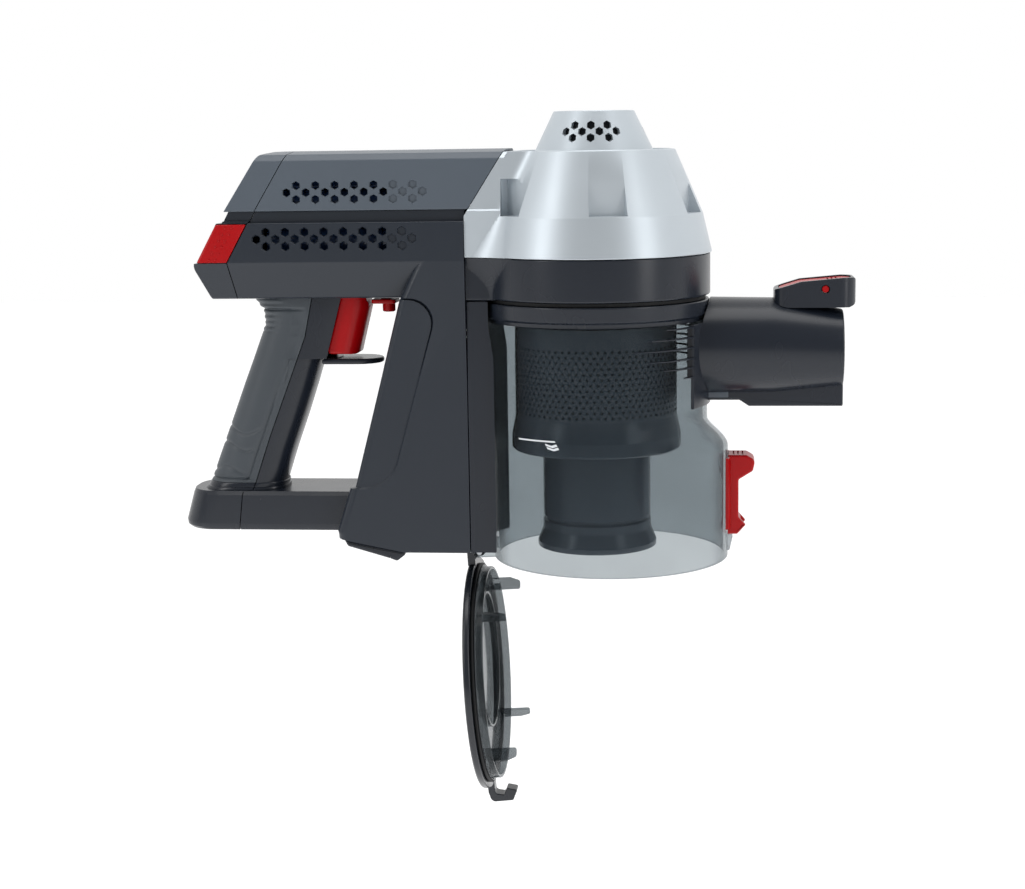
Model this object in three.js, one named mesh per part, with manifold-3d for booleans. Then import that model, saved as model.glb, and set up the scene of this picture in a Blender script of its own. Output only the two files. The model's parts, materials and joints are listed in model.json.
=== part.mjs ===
// Cordless handheld vacuum: pistol grip with a finger guard and a red trigger, a battery
// pack that slides out of the rear, a bagless cyclone cup with a hinged bottom door, an
// inlet nozzle, and a motor under a silver dome with a twist-off exhaust cap.
//
// Millimetres. +X points towards the nozzle, +Y to the left and +Z up; Y = 0 is the middle.
// The origin is the centre of the grip. The bin door hangs open, as for emptying.

import * as THREE from 'three';
import { mergeVertices } from 'three/addons/utils/BufferGeometryUtils.js';
import Module from 'manifold-3d';

const wasm = await Module();
wasm.setup();

// ---- Driving dimensions ------------------------------------------------------------

const GAP = 0.3;                 // clearance between neighbouring pieces
const WALL = 2.2;                // wall of the moulded covers

const AXIS_X = 180.5;            // upright axis of the cyclone and the motor
const CUP_X = 188;               // centre of the wider lower cup
const MOTOR_BAND_R = 61.8;
const MOTOR_Z = [64.6, 86.5];
const DOME_Z = [86.9, 136];
const DOME_RIM_R = 62.8;
const DOME_SHOULDER = [57.9, 107.6];
const DOME_TOP_R = 43.2;
const CAP_TOP_Z = 162;
const DOCK_R = 61.7;             // hollow front of the dock that the cup leans into
const DOCK_TOP_Z = 63.5;

const BLOCK_HALF = 36;           // half-width of the battery block
const BLOCK_BOTTOM_Z = 65;
const BLOCK_BEND_Z = 85;
const BLOCK_TOP_Z = 106;
const NECK_HALF = 31.5;          // recessed band between block and top cover
const COVER_Z = [112, 141.5];
const ROOF_CROWN = 1.4;          // rise of the roof's middle above its edges
const BODY_FRONT_X = 114;
const PILLAR_HALF = 33;
const PILLAR_BOTTOM_Z = -72;

const CUP_R = 60.2;
const CUP_LOW_R = 64;
const CUP_WALL = 2.4;
const CUP_TOP_Z = 51;
const CUP_STEP_Z = [-3, -16];
const CUP_BOTTOM_Z = -78.3;

const PIN_R = 1.5;               // hinge and pivot pins
const PIN_HOLE_R = 1.8;
const SCREW_HEAD_R = 3.2;
const SCREWS = [[103, 40], [88, -58], [100, 76]];    // x and z of the body screws

const GRIP_HALF = 17;
const BASE_HALF = 22;
const BASE_Z = [-62.5, -41];

const MOUTH_X = 312.7;           // plane of the nozzle mouth
const MOUTH_Z = 34.5;
const MOUTH_R = 21;
const BORE_R = 17.5;             // bore for a 35 mm spigot
const ROCKER_PIVOT = { x: 302.8, z: 67.2 };
const ROCKER_PIVOT_R = 1.9;

const HINGE = { x: 116.5, z: -75.8 };      // bin door hinge
const DOOR_OPEN = 86.5;                    // degrees that the door hangs open
const DOOR_R = 64.5;
const PADDLE_X = 185.5;                    // centre of the ring of paddles, door closed

const CELL_R = 9.1;              // 18650 cells
const CELL_X = [7, 72];
const CELL_ROWS = [95.2, 114.2];
const CELL_COLUMNS = [-19, 0, 19];
const CHARGE_Z = 74.5;           // height of the charging inlet

const TRIGGER_PIVOT = { x: 50, z: 72 };

// ---- Shape helpers -----------------------------------------------------------------

// Closed manifold solid from a geometry whose seams are still split.
function solid(geometry) {
  geometry.deleteAttribute('normal');
  geometry.deleteAttribute('uv');
  const merged = mergeVertices(geometry, 1e-4);
  const spots = merged.attributes.position;
  const index = merged.index.array;
  const a = new THREE.Vector3();
  const b = new THREE.Vector3();
  const c = new THREE.Vector3();
  const corners = [];
  let volume = 0;
  for (let i = 0; i < index.length; i += 3) {
    const [p, q, r] = [index[i], index[i + 1], index[i + 2]];
    if (p === q || q === r || r === p) continue;
    corners.push(p, q, r);
    a.fromBufferAttribute(spots, p);
    b.fromBufferAttribute(spots, q);
    c.fromBufferAttribute(spots, r);
    volume += a.dot(b.cross(c));
  }
  if (volume < 0) corners.reverse();
  return new wasm.Manifold(new wasm.Mesh({
    numProp: 3,
    vertProperties: Float32Array.from(spots.array),
    triVerts: Uint32Array.from(corners),
  }));
}

// Outline from [u, v, radius] corners; a radius rounds its corner.
function outline(corners) {
  const shape = new THREE.Shape();
  corners.forEach(([u, v, radius = 0], i) => {
    const corner = new THREE.Vector2(u, v);
    const before = new THREE.Vector2(...corners.at(i - 1).slice(0, 2));
    const after = new THREE.Vector2(...corners[(i + 1) % corners.length].slice(0, 2));
    const start = before.sub(corner).setLength(radius).add(corner);
    const end = after.sub(corner).setLength(radius).add(corner);
    if (i === 0) shape.moveTo(start.x, start.y);
    else shape.lineTo(start.x, start.y);
    if (radius > 0) shape.quadraticCurveTo(corner.x, corner.y, end.x, end.y);
  });
  shape.closePath();
  return shape;
}

// Prism of a shape along x (drawn in y, z), y (drawn in x, z) or z (drawn in x, y).
function prism(axis, shape, from, to, curveSegments = 3) {
  const drawn = shape instanceof THREE.Shape ? shape : outline(shape);
  const corners = drawn.getPoints(curveSegments);
  const distinct = corners.filter((p, i) => p.distanceTo(corners.at(i - 1)) > 0.01);
  const depth = to - from;
  const geometry = new THREE.ExtrudeGeometry(new THREE.Shape(distinct), { depth, bevelEnabled: false });
  const X = new THREE.Vector3(1, 0, 0);
  const Y = new THREE.Vector3(0, 1, 0);
  const Z = new THREE.Vector3(0, 0, 1);
  const turn = new THREE.Matrix4();
  if (axis === 'x') turn.makeBasis(Y, Z, X).setPosition(from, 0, 0);
  if (axis === 'y') turn.makeBasis(X, Z, Y.clone().negate()).setPosition(0, to, 0);
  if (axis === 'z') turn.setPosition(0, 0, from);
  return solid(geometry.applyMatrix4(turn));
}

function box(x, y, z) {
  const geometry = new THREE.BoxGeometry(x[1] - x[0], y[1] - y[0], z[1] - z[0]);
  geometry.translate((x[0] + x[1]) / 2, (y[0] + y[1]) / 2, (z[0] + z[1]) / 2);
  return solid(geometry);
}

// Round bar along an axis, from one end to the other; centre gives the other two
// coordinates in x, y, z order.
function rod(axis, centre, radius, from, to, segments = 20) {
  const geometry = new THREE.CylinderGeometry(radius, radius, to - from, segments);
  const middle = (from + to) / 2;
  if (axis === 'x') geometry.rotateZ(Math.PI / 2).translate(middle, centre[0], centre[1]);
  if (axis === 'y') geometry.translate(centre[0], middle, centre[1]);
  if (axis === 'z') geometry.rotateX(Math.PI / 2).translate(centre[0], centre[1], middle);
  return solid(geometry);
}

// Turned piece about the upright axis at (x, 0) from a closed [radius, z] profile.
function turned(profile, x = AXIS_X, segments = 36) {
  const points = [...profile, profile[0]].map(([r, z]) => new THREE.Vector2(r, z));
  const geometry = new THREE.LatheGeometry(points, segments);
  return solid(geometry.rotateX(Math.PI / 2).translate(x, 0, 0));
}

// Solid skinned over rings of [x, y, z] points, all with the same count.
function loft(rings) {
  const count = rings[0].length;
  const spots = rings.flat(2);
  const faces = [];
  for (let k = 0; k < rings.length - 1; k++) {
    for (let i = 0; i < count; i++) {
      const j = (i + 1) % count;
      const [a, b] = [k * count + i, k * count + j];
      faces.push(a, b, b + count, a, b + count, a + count);
    }
  }
  const top = (rings.length - 1) * count;
  for (let i = 1; i < count - 1; i++) {
    faces.push(0, i + 1, i, top, top + i, top + i + 1);
  }
  const geometry = new THREE.BufferGeometry();
  geometry.setAttribute('position', new THREE.Float32BufferAttribute(spots, 3));
  geometry.setIndex(faces);
  return solid(geometry);
}

// Ring of points around a rounded oblong between two x values, at height z.
function oval(rear, front, half, z, power = 2.6, count = 20) {
  const ring = [];
  const middle = (rear + front) / 2;
  const reach = (front - rear) / 2;
  const curve = (value) => Math.sign(value) * Math.abs(value) ** (2 / power);
  for (let i = 0; i < count; i++) {
    const angle = (i / count) * 2 * Math.PI;
    ring.push([middle + reach * curve(Math.cos(angle)), half * curve(Math.sin(angle)), z]);
  }
  return ring;
}

class Helix extends THREE.Curve {
  constructor(radius, turns, length) {
    super();
    Object.assign(this, { radius, turns, length });
  }
  getPoint(t) {
    const angle = t * this.turns * 2 * Math.PI;
    const [u, v] = [Math.cos(angle) * this.radius, Math.sin(angle) * this.radius];
    return new THREE.Vector3(u, v, t * this.length);
  }
}

// Compression spring that starts at the origin and runs along z.
function coil(radius, wire, turns, length) {
  const section = new THREE.Shape();
  section.absarc(0, 0, wire, 0, 2 * Math.PI);
  return new THREE.ExtrudeGeometry(section, {
    extrudePath: new Helix(radius, turns, length),
    steps: turns * 7,
    curveSegments: 4,
    bevelEnabled: false,
  });
}

const mirrored = (half) => [...half, ...half.map(([y, z, r]) => [-y, z, r]).reverse()];
const joined = (pieces) => pieces.reduce((all, piece) => all.add(piece));

// ---- Finishes ----------------------------------------------------------------------

const finishes = {
  shell: ['#2b2f38', 0.45, 0],
  cover: ['#5d666e', 0.5, 0],
  silver: ['#c8d2d8', 0.35, 0.6],
  red: ['#c8101a', 0.35, 0],
  rubber: ['#3a3f42', 0.8, 0],
  smoke: ['#8f979b', 0.15, 0],
  separator: ['#3c424a', 0.4, 0],
  door: ['#4a5054', 0.2, 0],
  seal: ['#141517', 0.7, 0],
  steel: ['#b4b8bc', 0.3, 1],
  cell: ['#1a2c54', 0.35, 0],
  board: ['#1f5a3a', 0.6, 0],
  foam: ['#3d4246', 1, 0],
  filter: ['#e8e6df', 0.9, 0],
  motor: ['#8b9096', 0.4, 0.8],
  inner: ['#202327', 0.6, 0],
};

const vacuum = new THREE.Group();

function add(name, piece, finish) {
  const [color, roughness, metalness] = finishes[finish];
  const { vertProperties, triVerts } = piece.getMesh();
  const geometry = new THREE.BufferGeometry();
  geometry.setAttribute('position', new THREE.BufferAttribute(vertProperties, 3));
  geometry.setIndex(new THREE.BufferAttribute(triVerts, 1));
  geometry.computeVertexNormals();
  const material = new THREE.MeshStandardMaterial({ color, roughness, metalness });
  const mesh = new THREE.Mesh(geometry, material);
  mesh.name = name;
  vacuum.add(mesh);
}

// ---- Battery block, pillar and top cover -------------------------------------------

// Cross-section of the lower block and its recessed neck, in y and z.
function blockSection(inset, top) {
  const half = BLOCK_HALF - inset;
  return mirrored([
    [24 - inset / 2, BLOCK_BOTTOM_Z + inset],
    [half, BLOCK_BEND_Z],
    [half, BLOCK_TOP_Z - inset],
    [NECK_HALF - inset, BLOCK_TOP_Z - inset],
    [NECK_HALF - inset, top],
  ]);
}

// Cross-section of the top cover, whose sides lean in towards a flat roof.
function coverSection(inset) {
  return mirrored([
    [34 - inset, COVER_Z[0] - inset],
    [30.4 - inset, 138.2],
    [27 - inset, COVER_Z[1] - inset],
    [13 - inset, COVER_Z[1] + ROOF_CROWN - inset],
  ]);
}

// Region behind the slanted seam of the battery pack.
function behindSeam(shift) {
  const seam = [[22, 146], [2.2, 112], [-13, BLOCK_BEND_Z], [-10.6, 64], [-9.5, 55]];
  const corners = seam.map(([x, z]) => [x + shift, z]);
  return prism('y', [...corners, [-70, 55], [-70, 146]], -50, 50);
}

// Slanted line where the silver dome meets the body, from below upwards.
const frontLine = (shift) => [[BODY_FRONT_X + shift, 60], [BODY_FRONT_X + shift, 108.6],
  [136.2 + shift, 144]];

function pillarOutline(inset) {
  const bottom = PILLAR_BOTTOM_Z + inset;
  return [
    [88 + inset, BLOCK_BEND_Z],
    [78.2 + inset, 64, 3],
    [51.7 + inset, -36.4],
    [48.8 + inset, -37],
    [41.2 + inset, -60.7, 1],
    [43.2 + inset, -65 + inset, 1],
    [78.4 + inset, bottom],
    [BODY_FRONT_X + inset, bottom],
    [BODY_FRONT_X + inset, BLOCK_BEND_Z],
  ];
}

const HEX_R = 2.3;
const hexagon = (x, z) => Array.from({ length: 6 }, (_, i) => {
  const angle = (i * Math.PI) / 3 + Math.PI / 6;
  return [x + HEX_R * Math.cos(angle), z + HEX_R * Math.sin(angle)];
});

// Vent through both side walls: a middle row of hexagonal holes, and pairs between them
// above and below.
function vent({ firstX, z, pitch, rise, middles, pairs }) {
  const holes = [];
  for (let i = 0; i < middles; i++) holes.push(hexagon(firstX + i * pitch, z));
  for (let i = 0; i < pairs; i++) {
    holes.push(hexagon(firstX + (i + 0.5) * pitch, z + rise));
    holes.push(hexagon(firstX + (i + 0.5) * pitch, z - rise));
  }
  return joined(holes.map((hole) => prism('y', hole, -45, 45)));
}

function bodyShells() {
  const outside = prism('x', blockSection(0, 111.7), -20, BODY_FRONT_X)
    .add(prism('y', pillarOutline(0), -PILLAR_HALF, PILLAR_HALF));
  const pillarInside = PILLAR_HALF - WALL;
  const inside = prism('x', blockSection(WALL, 120), -30, BODY_FRONT_X + 5)
    .add(prism('y', pillarOutline(WALL), -pillarInside, pillarInside));
  const pedestal = ([low, high]) => box([44, 56], [low, high], [BLOCK_BOTTOM_Z + 1, 76]);
  let shell = outside.subtract(inside)
    .add(pedestal([-18, -14]))
    .add(pedestal([14, 18]))
    .subtract(behindSeam(GAP / 2))
    .subtract(box([36, 60], [-13.6, 13.6], [60, 68]))
    .subtract(box([61.5, 70.5], [-4.5, 4.5], [60, 68]))
    .subtract(rod('y', [TRIGGER_PIVOT.x, TRIGGER_PIVOT.z], PIN_HOLE_R, -17, 17, 12))
    .subtract(vent({ firstX: 3.3, z: 97.4, pitch: 10.41, rise: 3.75, middles: 7, pairs: 7 }));
  for (const [x, z] of SCREWS) {
    shell = shell.subtract(rod('y', [x, z], SCREW_HEAD_R + 0.5, 20, 40, 12));
  }
  const right = box([-80, 200], [-60, -GAP / 2], [-100, 150]);
  const left = box([-80, 200], [GAP / 2, 60], [-100, 150]);
  add('body_shell_left', shell.intersect(left), 'shell');
  add('body_shell_right', shell.intersect(right), 'shell');
}

// Screws that close the two body shells, driven from the left side.
function bodyScrews() {
  SCREWS.forEach(([x, z], i) => {
    const head = rod('y', [x, z], SCREW_HEAD_R, 30.9, 32.6, 12);
    const screw = head.add(rod('y', [x, z], 1.5, 14, 31.5, 8));
    add(`body_screw_${i + 1}`, screw, 'steel');
  });
}

function topCover() {
  const region = prism('y', [[-20, 100], [BODY_FRONT_X - GAP, 100], ...frontLine(-GAP).slice(1),
    [-20, 144]], -50, 50);
  const inside = mirrored([[34 - WALL, 105], [34 - WALL, COVER_Z[0]], [30.4 - WALL, 137.6],
    [26.4, COVER_Z[1] - WALL]]);
  const cover = prism('x', coverSection(0), -10, 140)
    .subtract(prism('x', inside, -20, 145))
    .intersect(region)
    .subtract(behindSeam(GAP / 2))
    .subtract(box([-50, 150], [-50, 50], [100, COVER_Z[0]]))
    .subtract(vent({ firstX: 19.7, z: 121.7, pitch: 10.36, rise: 3.65, middles: 6, pairs: 5 }));
  add('top_cover', cover, 'cover');
}

function dockFrame() {
  const corner = Math.atan2(PILLAR_HALF, -Math.sqrt(DOCK_R ** 2 - PILLAR_HALF ** 2));
  const plan = new THREE.Shape();
  plan.moveTo(BODY_FRONT_X + GAP, PILLAR_HALF);
  plan.lineTo(BODY_FRONT_X + GAP, -PILLAR_HALF);
  plan.absarc(AXIS_X, 0, DOCK_R, -corner, corner, true);
  const collarRoom = turned([[0, 33], [DOCK_R, 33], [63.9, 50], [63.9, 70], [0, 70]]);
  const frame = prism('z', plan, PILLAR_BOTTOM_Z + GAP, DOCK_TOP_Z, 12).subtract(collarRoom);
  add('dock_frame', frame, 'shell');
}

function pillarFoot() {
  const side = [[44.4, -65.6], [46.4, -69.6, 1], [69.2, -76.2], [73.3, -77.7, 1], [77.6, -74.2, 1],
    [77.6, PILLAR_BOTTOM_Z - GAP]];
  add('pillar_foot', prism('y', side, -29, 29), 'shell');
}

// ---- Motor housing, dome and exhaust cap -------------------------------------------

function motorHousing() {
  const [low, high] = MOTOR_Z;
  const ring = [[MOTOR_BAND_R, low], [MOTOR_BAND_R, high], [59.6, high], [59.6, low + 2],
    [56, low + 2], [56, low]];
  const core = turned([[0, low - 5], [59.6, low - 5], [59.6, high + 5], [0, high + 5]]);
  const saddle = box([BODY_FRONT_X + GAP, 150], [-PILLAR_HALF, PILLAR_HALF], [64, high])
    .subtract(box([100, 160], [-30.6, 30.6], [64 + WALL, high + 5]))
    .subtract(core);
  add('motor_housing', turned(ring).add(saddle), 'shell');
}

function domeCover() {
  const [low, high] = DOME_Z;
  const [shoulderR, shoulderZ] = DOME_SHOULDER;
  const outer = [[0, low], [DOME_RIM_R, low], [shoulderR, shoulderZ], [DOME_TOP_R, high], [0, high]];
  const inner = [[0, low - 1], [60, low - 1], [55.4, shoulderZ - 1.5], [47, shoulderZ - 1.5],
    [47, 124], [41, high - 2], [41, high + 2], [0, high + 2]];
  const line = frontLine(0);
  const saddleSide = [[line[0][0] + GAP, low], [line[1][0] + GAP, line[1][1]],
    [134.6 + GAP, COVER_Z[1]], [152, COVER_Z[1]], [152, low]];
  const saddleEnd = mirrored([[35, low], [35, COVER_Z[0] - 1], [34, COVER_Z[0]], [30.4, 138.2],
    [27, COVER_Z[1]]]);
  const hollowEnd = mirrored([[32.4, low - 5], [32.4, COVER_Z[0]], [27.6, 137],
    [25, COVER_Z[1] - WALL]]);
  const tunnelEnd = mirrored([[22, low - 5], [22, COVER_Z[1] - WALL]]);
  const saddle = prism('x', saddleEnd, 100, 160)
    .intersect(prism('y', saddleSide, -40, 40))
    .subtract(turned([[0, high - 0.3], [43.6, high - 0.3], [43.6, 150], [0, 150]]));
  let dome = turned(outer).add(saddle)
    .subtract(prism('x', hollowEnd, 90, 124))
    .subtract(prism('x', tunnelEnd, 120, 145))
    .subtract(turned(inner));
  const front = THREE.MathUtils.degToRad(10.7 - 90);
  for (let i = 0; i < 6; i++) {
    const angle = front + (i * Math.PI) / 3;
    if (Math.cos(angle) < -0.8) continue;    // the body covers this one
    const pocket = new THREE.BoxGeometry(14, 19, 16).translate(49.6 + 7, 0, shoulderZ + 8.6);
    dome = dome.subtract(solid(pocket.rotateZ(angle).translate(AXIS_X, 0, 0)));
  }
  add('dome_cover', dome, 'silver');
}

// Angle between neighbouring exhaust holes of a row, in radians.
const HOLE_PITCH = 0.345;

function exhaustCap() {
  const base = DOME_Z[1] + GAP;
  const profile = [[DOME_TOP_R, base], [40.8, 140.3], [31.2, 141.4], [21.4, CAP_TOP_Z],
    [0, CAP_TOP_Z], [0, 159.8], [19.8, 159.8], [28.9, 139.2], [38, 138.4], [38, 131], [40.4, 131],
    [40.4, base]];
  let cap = turned(profile, AXIS_X, 24);
  for (let group = 0; group < 3; group++) {
    for (let i = 0; i < 4; i++) {
      for (const row of i < 3 ? [-1, 0, 1] : [0]) {
        const shift = row === 0 ? i : i + 0.5;
        const angle = (group * 2 * Math.PI) / 3 - Math.PI / 2 + (shift - 1.5) * HOLE_PITCH;
        const hole = new THREE.CylinderGeometry(2.2, 2.2, 20, 6).rotateZ(Math.PI / 2);
        hole.translate(27, 0, 151.2 + row * 3.2).rotateZ(angle).translate(AXIS_X, 0, 0);
        cap = cap.subtract(solid(hole));
      }
    }
  }
  add('exhaust_cap', cap, 'silver');
  add('exhaust_filter', turned([[0, 126], [37.3, 126], [37.3, 138], [0, 138]], AXIS_X, 28), 'filter');
}

function motor() {
  add('motor_mount', turned([[22, 67], [58.8, 67], [58.8, 69.6], [22, 69.6]], AXIS_X, 28), 'inner');
  add('fan_diffuser', turned([[46, 70], [47.6, 70], [47.6, 84.6], [4, 84.6], [4, 83], [46, 83]],
    AXIS_X, 28), 'inner');
  add('motor_can', turned([[3.5, 85], [31, 85], [31, 112], [27, 116], [12, 116], [12, 121],
    [3.5, 121]], AXIS_X, 28), 'motor');
  add('motor_shaft', rod('z', [AXIS_X, 0], 3, 73, 118, 16), 'steel');
  let impeller = turned([[3.3, 74], [9, 74], [14, 79.5], [43, 80.6], [43, 81.8], [3.3, 81.8]],
    AXIS_X, 24);
  for (let i = 0; i < 9; i++) {
    const blade = new THREE.BoxGeometry(30, 1.4, 7).translate(27, 0, 77.5);
    blade.rotateZ((i * 2 * Math.PI) / 9).translate(AXIS_X, 0, 0);
    impeller = impeller.add(solid(blade));
  }
  add('impeller', impeller, 'inner');
}

// ---- Battery pack ------------------------------------------------------------------

// Parallelogram of the release buttons on the pack's sides.
const BUTTON = [[-18.4, 105.4], [-1.9, 105.4], [-13.3, 85.2], [-29.6, 85.2]];

function batteryPack() {
  const roof = COVER_Z[1] + ROOF_CROWN;
  const rear = prism('y', [[30, 62], [30, roof], [12, roof], [4, COVER_Z[1], 4], [-31.9, 83.4, 3],
    [-24.8, BLOCK_BOTTOM_Z, 3], [-20, 62]], -50, 50, 4);
  const inner = prism('y', [[30, 67.4], [30, 139], [7, 139], [-28.4, 83.2], [-22, 67.4]],
    -50, 50);
  const outside = prism('x', blockSection(0, 113), -40, 25).add(prism('x', coverSection(0), -40, 25)
    .subtract(box([-50, 60], [-50, 50], [100, COVER_Z[0]])));
  const inside = prism('x', blockSection(WALL, 114), -40, 30)
    .add(prism('x', mirrored([[29, 108], [29, 118], [27.4, 137.6], [24, 139.2]]), -40, 30))
    .intersect(inner);
  const pocketFloor = (side) => prism('y', [[-30, 84.2], [-16.6, 107], [0.2, 107], [-12.8, 84.2]],
    ...side);
  const pocket = (side) => prism('y', [[-34, 84.9], [-18, 105.8], [8, 105.8], [-10, 84.9]], ...side);
  const cap = outside.subtract(inside)
    .add(pocketFloor([-34, -28.6]))
    .add(pocketFloor([28.6, 34]))
    .subtract(pocket([-40, -30.2]))
    .subtract(pocket([30.2, 40]))
    .intersect(rear)
    .intersect(behindSeam(-GAP / 2))
    .subtract(rod('x', [0, CHARGE_Z], 4.4, -40, -15));
  add('battery_end_cap', cap, 'cover');
  const socket = rod('x', [0, CHARGE_Z], 4, -27.4, -18);
  add('charge_socket', socket.subtract(rod('x', [0, CHARGE_Z], 2.6, -40, -20)), 'inner');

  const button = (low, high) => prism('y', BUTTON, low, high);
  add('battery_button_left', button(33, 36), 'red');
  add('battery_button_right', button(-36, -33), 'red');

  add('battery_tray', joined([
    box([3, 76], [-27, 27], [83.4, 85.7]),
    box([3, 5.6], [-27, 27], [83.4, 122]),
    box([73.4, 76], [-27, 27], [83.4, 122]),
  ]), 'inner');
  CELL_ROWS.forEach((z, row) => CELL_COLUMNS.forEach((y, column) => {
    add(`battery_cell_${row * 3 + column + 1}`, rod('x', [y, z], CELL_R, ...CELL_X, 20), 'cell');
  }));
  add('battery_board', box([76.4, 78], [-24, 24], [88, 121]), 'board');
  add('battery_terminals', box([78.4, 84], [-12, 12], [98, 110]), 'steel');
  add('contact_block', box([84.6, 91], [-14, 14], [96, 112]), 'inner');
  add('control_board', box([94, 95.6], [-27, 27], [72, 104]), 'board');
}

// ---- Handle ------------------------------------------------------------------------

// [z, rear x, front x] down the grip.
const GRIP_LEVELS = [[64.7, -6.4, 38.6], [57, -1.2, 37], [50, -0.6, 35.5], [31, -8, 31.2],
  [17, -13.6, 26.8], [0, -20.1, 21], [-20, -27.9, 13.6], [-43, -36.8, 6]];

function grip(inset, low = 0, high = 0) {
  return loft(GRIP_LEVELS.map(([z, rear, front], i) => {
    const end = i === 0 ? high : 0;
    const height = i === GRIP_LEVELS.length - 1 ? z - low : z + end;
    return oval(rear + inset, front - inset, GRIP_HALF - inset, height);
  }));
}

// Fillings that carry the grip's sides forward beside the trigger: z, middle x, reach of
// the oval, and x of the front edge.
const CHEEKS = [[64.7, 16.1, 47, 43.8], [57, 17.9, 40.4, 41.7], [50, 17.4, 38, 39.8],
  [31.4, 11.7, 39.2, 34.8]];

function cheeks() {
  const whole = loft(CHEEKS.map(([z, middle, reach]) => (
    oval(middle - reach, middle + reach, GRIP_HALF, z, 2.6, 28))));
  const fronts = CHEEKS.map(([z, , , front]) => [front, z]);
  const middles = CHEEKS.map(([z, middle]) => [middle, z]).reverse();
  return whole.intersect(prism('y', [...fronts, ...middles], -20, 20));
}

// The bar under the grip that ties it to the pillar.
function base(inset) {
  const [low, high] = [BASE_Z[0] + inset, BASE_Z[1] - inset];
  const side = [[-43.3 + inset, high, 2], [-49.3 + inset, low + 4, 3], [-46.4 + inset, low, 1.5],
    [40.2 - inset, low], [47 - inset, high]];
  const plan = [[-52 + inset, -BASE_HALF + inset, 18], [60, -BASE_HALF + inset],
    [60, BASE_HALF - inset], [-52 + inset, BASE_HALF - inset, 18]];
  return prism('y', side, -30, 30).intersect(prism('z', plan, -70, -30, 6));
}

// Region behind the seam between the rear and front handle shells.
function behindGrip(shift) {
  const seam = [[28.5, 66], [23.8, 43.6], [2.4, -11.4], [-7.8, -40.6], [-12.8, -41.4], [-15.7, -66]];
  const corners = seam.map(([x, z]) => [x + shift, z]);
  return prism('y', [...corners, [-70, -66], [-70, 66]], -40, 40);
}

function handle() {
  const outside = grip(0).add(cheeks());
  const frontShell = outside.add(base(0))
    .subtract(grip(WALL, 1, 1).add(base(WALL)))
    .subtract(behindGrip(GAP / 2))
    .subtract(box([27.8, 70], [-13.4, 13.4], [31.4, 70]));
  add('handle_front_shell', frontShell, 'shell');
  const rubberRoom = grip(-3, 1, 1).subtract(grip(2.2, 1, 1))
    .subtract(box([-80, 80], [-40, 40], [-80, BASE_Z[1]]));
  const rearShell = outside.add(base(0))
    .subtract(rubberRoom)
    .subtract(grip(4.2, 1, 1).add(base(WALL)))
    .intersect(behindGrip(-GAP / 2));
  add('handle_rear_shell', rearShell, 'shell');
  const rubber = outside.subtract(grip(1.9, 1, 1))
    .intersect(behindGrip(-GAP / 2))
    .subtract(box([-80, 80], [-40, 40], [-80, BASE_Z[1] + GAP]));
  add('grip_overmold', rubber, 'rubber');
  const guard = new THREE.Shape();
  guard.moveTo(31.9, -13);
  guard.lineTo(51, -13);
  guard.absarc(51, 0, 13, -Math.PI / 2, Math.PI / 2);
  guard.lineTo(31.9, 13);
  add('finger_guard', prism('z', guard, 28, 31, 7), 'shell');
}

function trigger() {
  const { x, z } = TRIGGER_PIVOT;
  const side = [[44.6, 76.4, 3], [55.4, 76.4, 3], [55, 68], [57.9, 59, 2], [51.5, 33.4, 1.5],
    [34.3, 33.6, 1.5], [42.4, 63.7]];
  const lever = prism('y', side, -12.6, 12.6).subtract(rod('y', [x, z], PIN_HOLE_R, -20, 20, 16));
  add('trigger', lever, 'red');
  add('trigger_pin', rod('y', [x, z], PIN_R, -16.5, 16.5, 16), 'steel');
  const spring = coil(3.4, 0.5, 4, 9).rotateY(Math.PI / 2).translate(10, 0, 44);
  add('trigger_spring', solid(spring), 'steel');
  add('trigger_switch', box([25, 36], [-5, 5], [68, 78]), 'inner');
}

function binRelease() {
  const plate = prism('z', [[58.9, -8, 2], [72.4, -8, 2], [72.4, 8, 2], [58.9, 8, 2]], 60.5, 62.9);
  const button = plate.add(rod('z', [67.5, 0], 3.5, 55.7, 61, 16))
    .add(box([63.5, 68.5], [-2.5, 2.5], [62, 74]));
  add('bin_release_button', button, 'red');
  const spring = coil(4.9, 0.45, 4, 7).translate(66, 0, 68.2);
  add('bin_release_spring', solid(spring), 'steel');
}

// ---- Cyclone cup -------------------------------------------------------------------

function cupRing(x, radius, z, count = 40) {
  return Array.from({ length: count }, (_, i) => {
    const angle = (i / count) * 2 * Math.PI;
    return [x + radius * Math.cos(angle), radius * Math.sin(angle), z];
  });
}

function cup(inset, spare) {
  return loft([
    cupRing(AXIS_X, CUP_R - inset, CUP_TOP_Z + spare),
    cupRing(AXIS_X, CUP_R - inset, CUP_STEP_Z[0]),
    cupRing(CUP_X, CUP_LOW_R - inset, CUP_STEP_Z[1]),
    cupRing(CUP_X, CUP_LOW_R - inset, CUP_BOTTOM_Z - spare),
  ]);
}

const bore = (from, to) => rod('x', [0, MOUTH_Z], BORE_R, from, to, 24);

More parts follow.
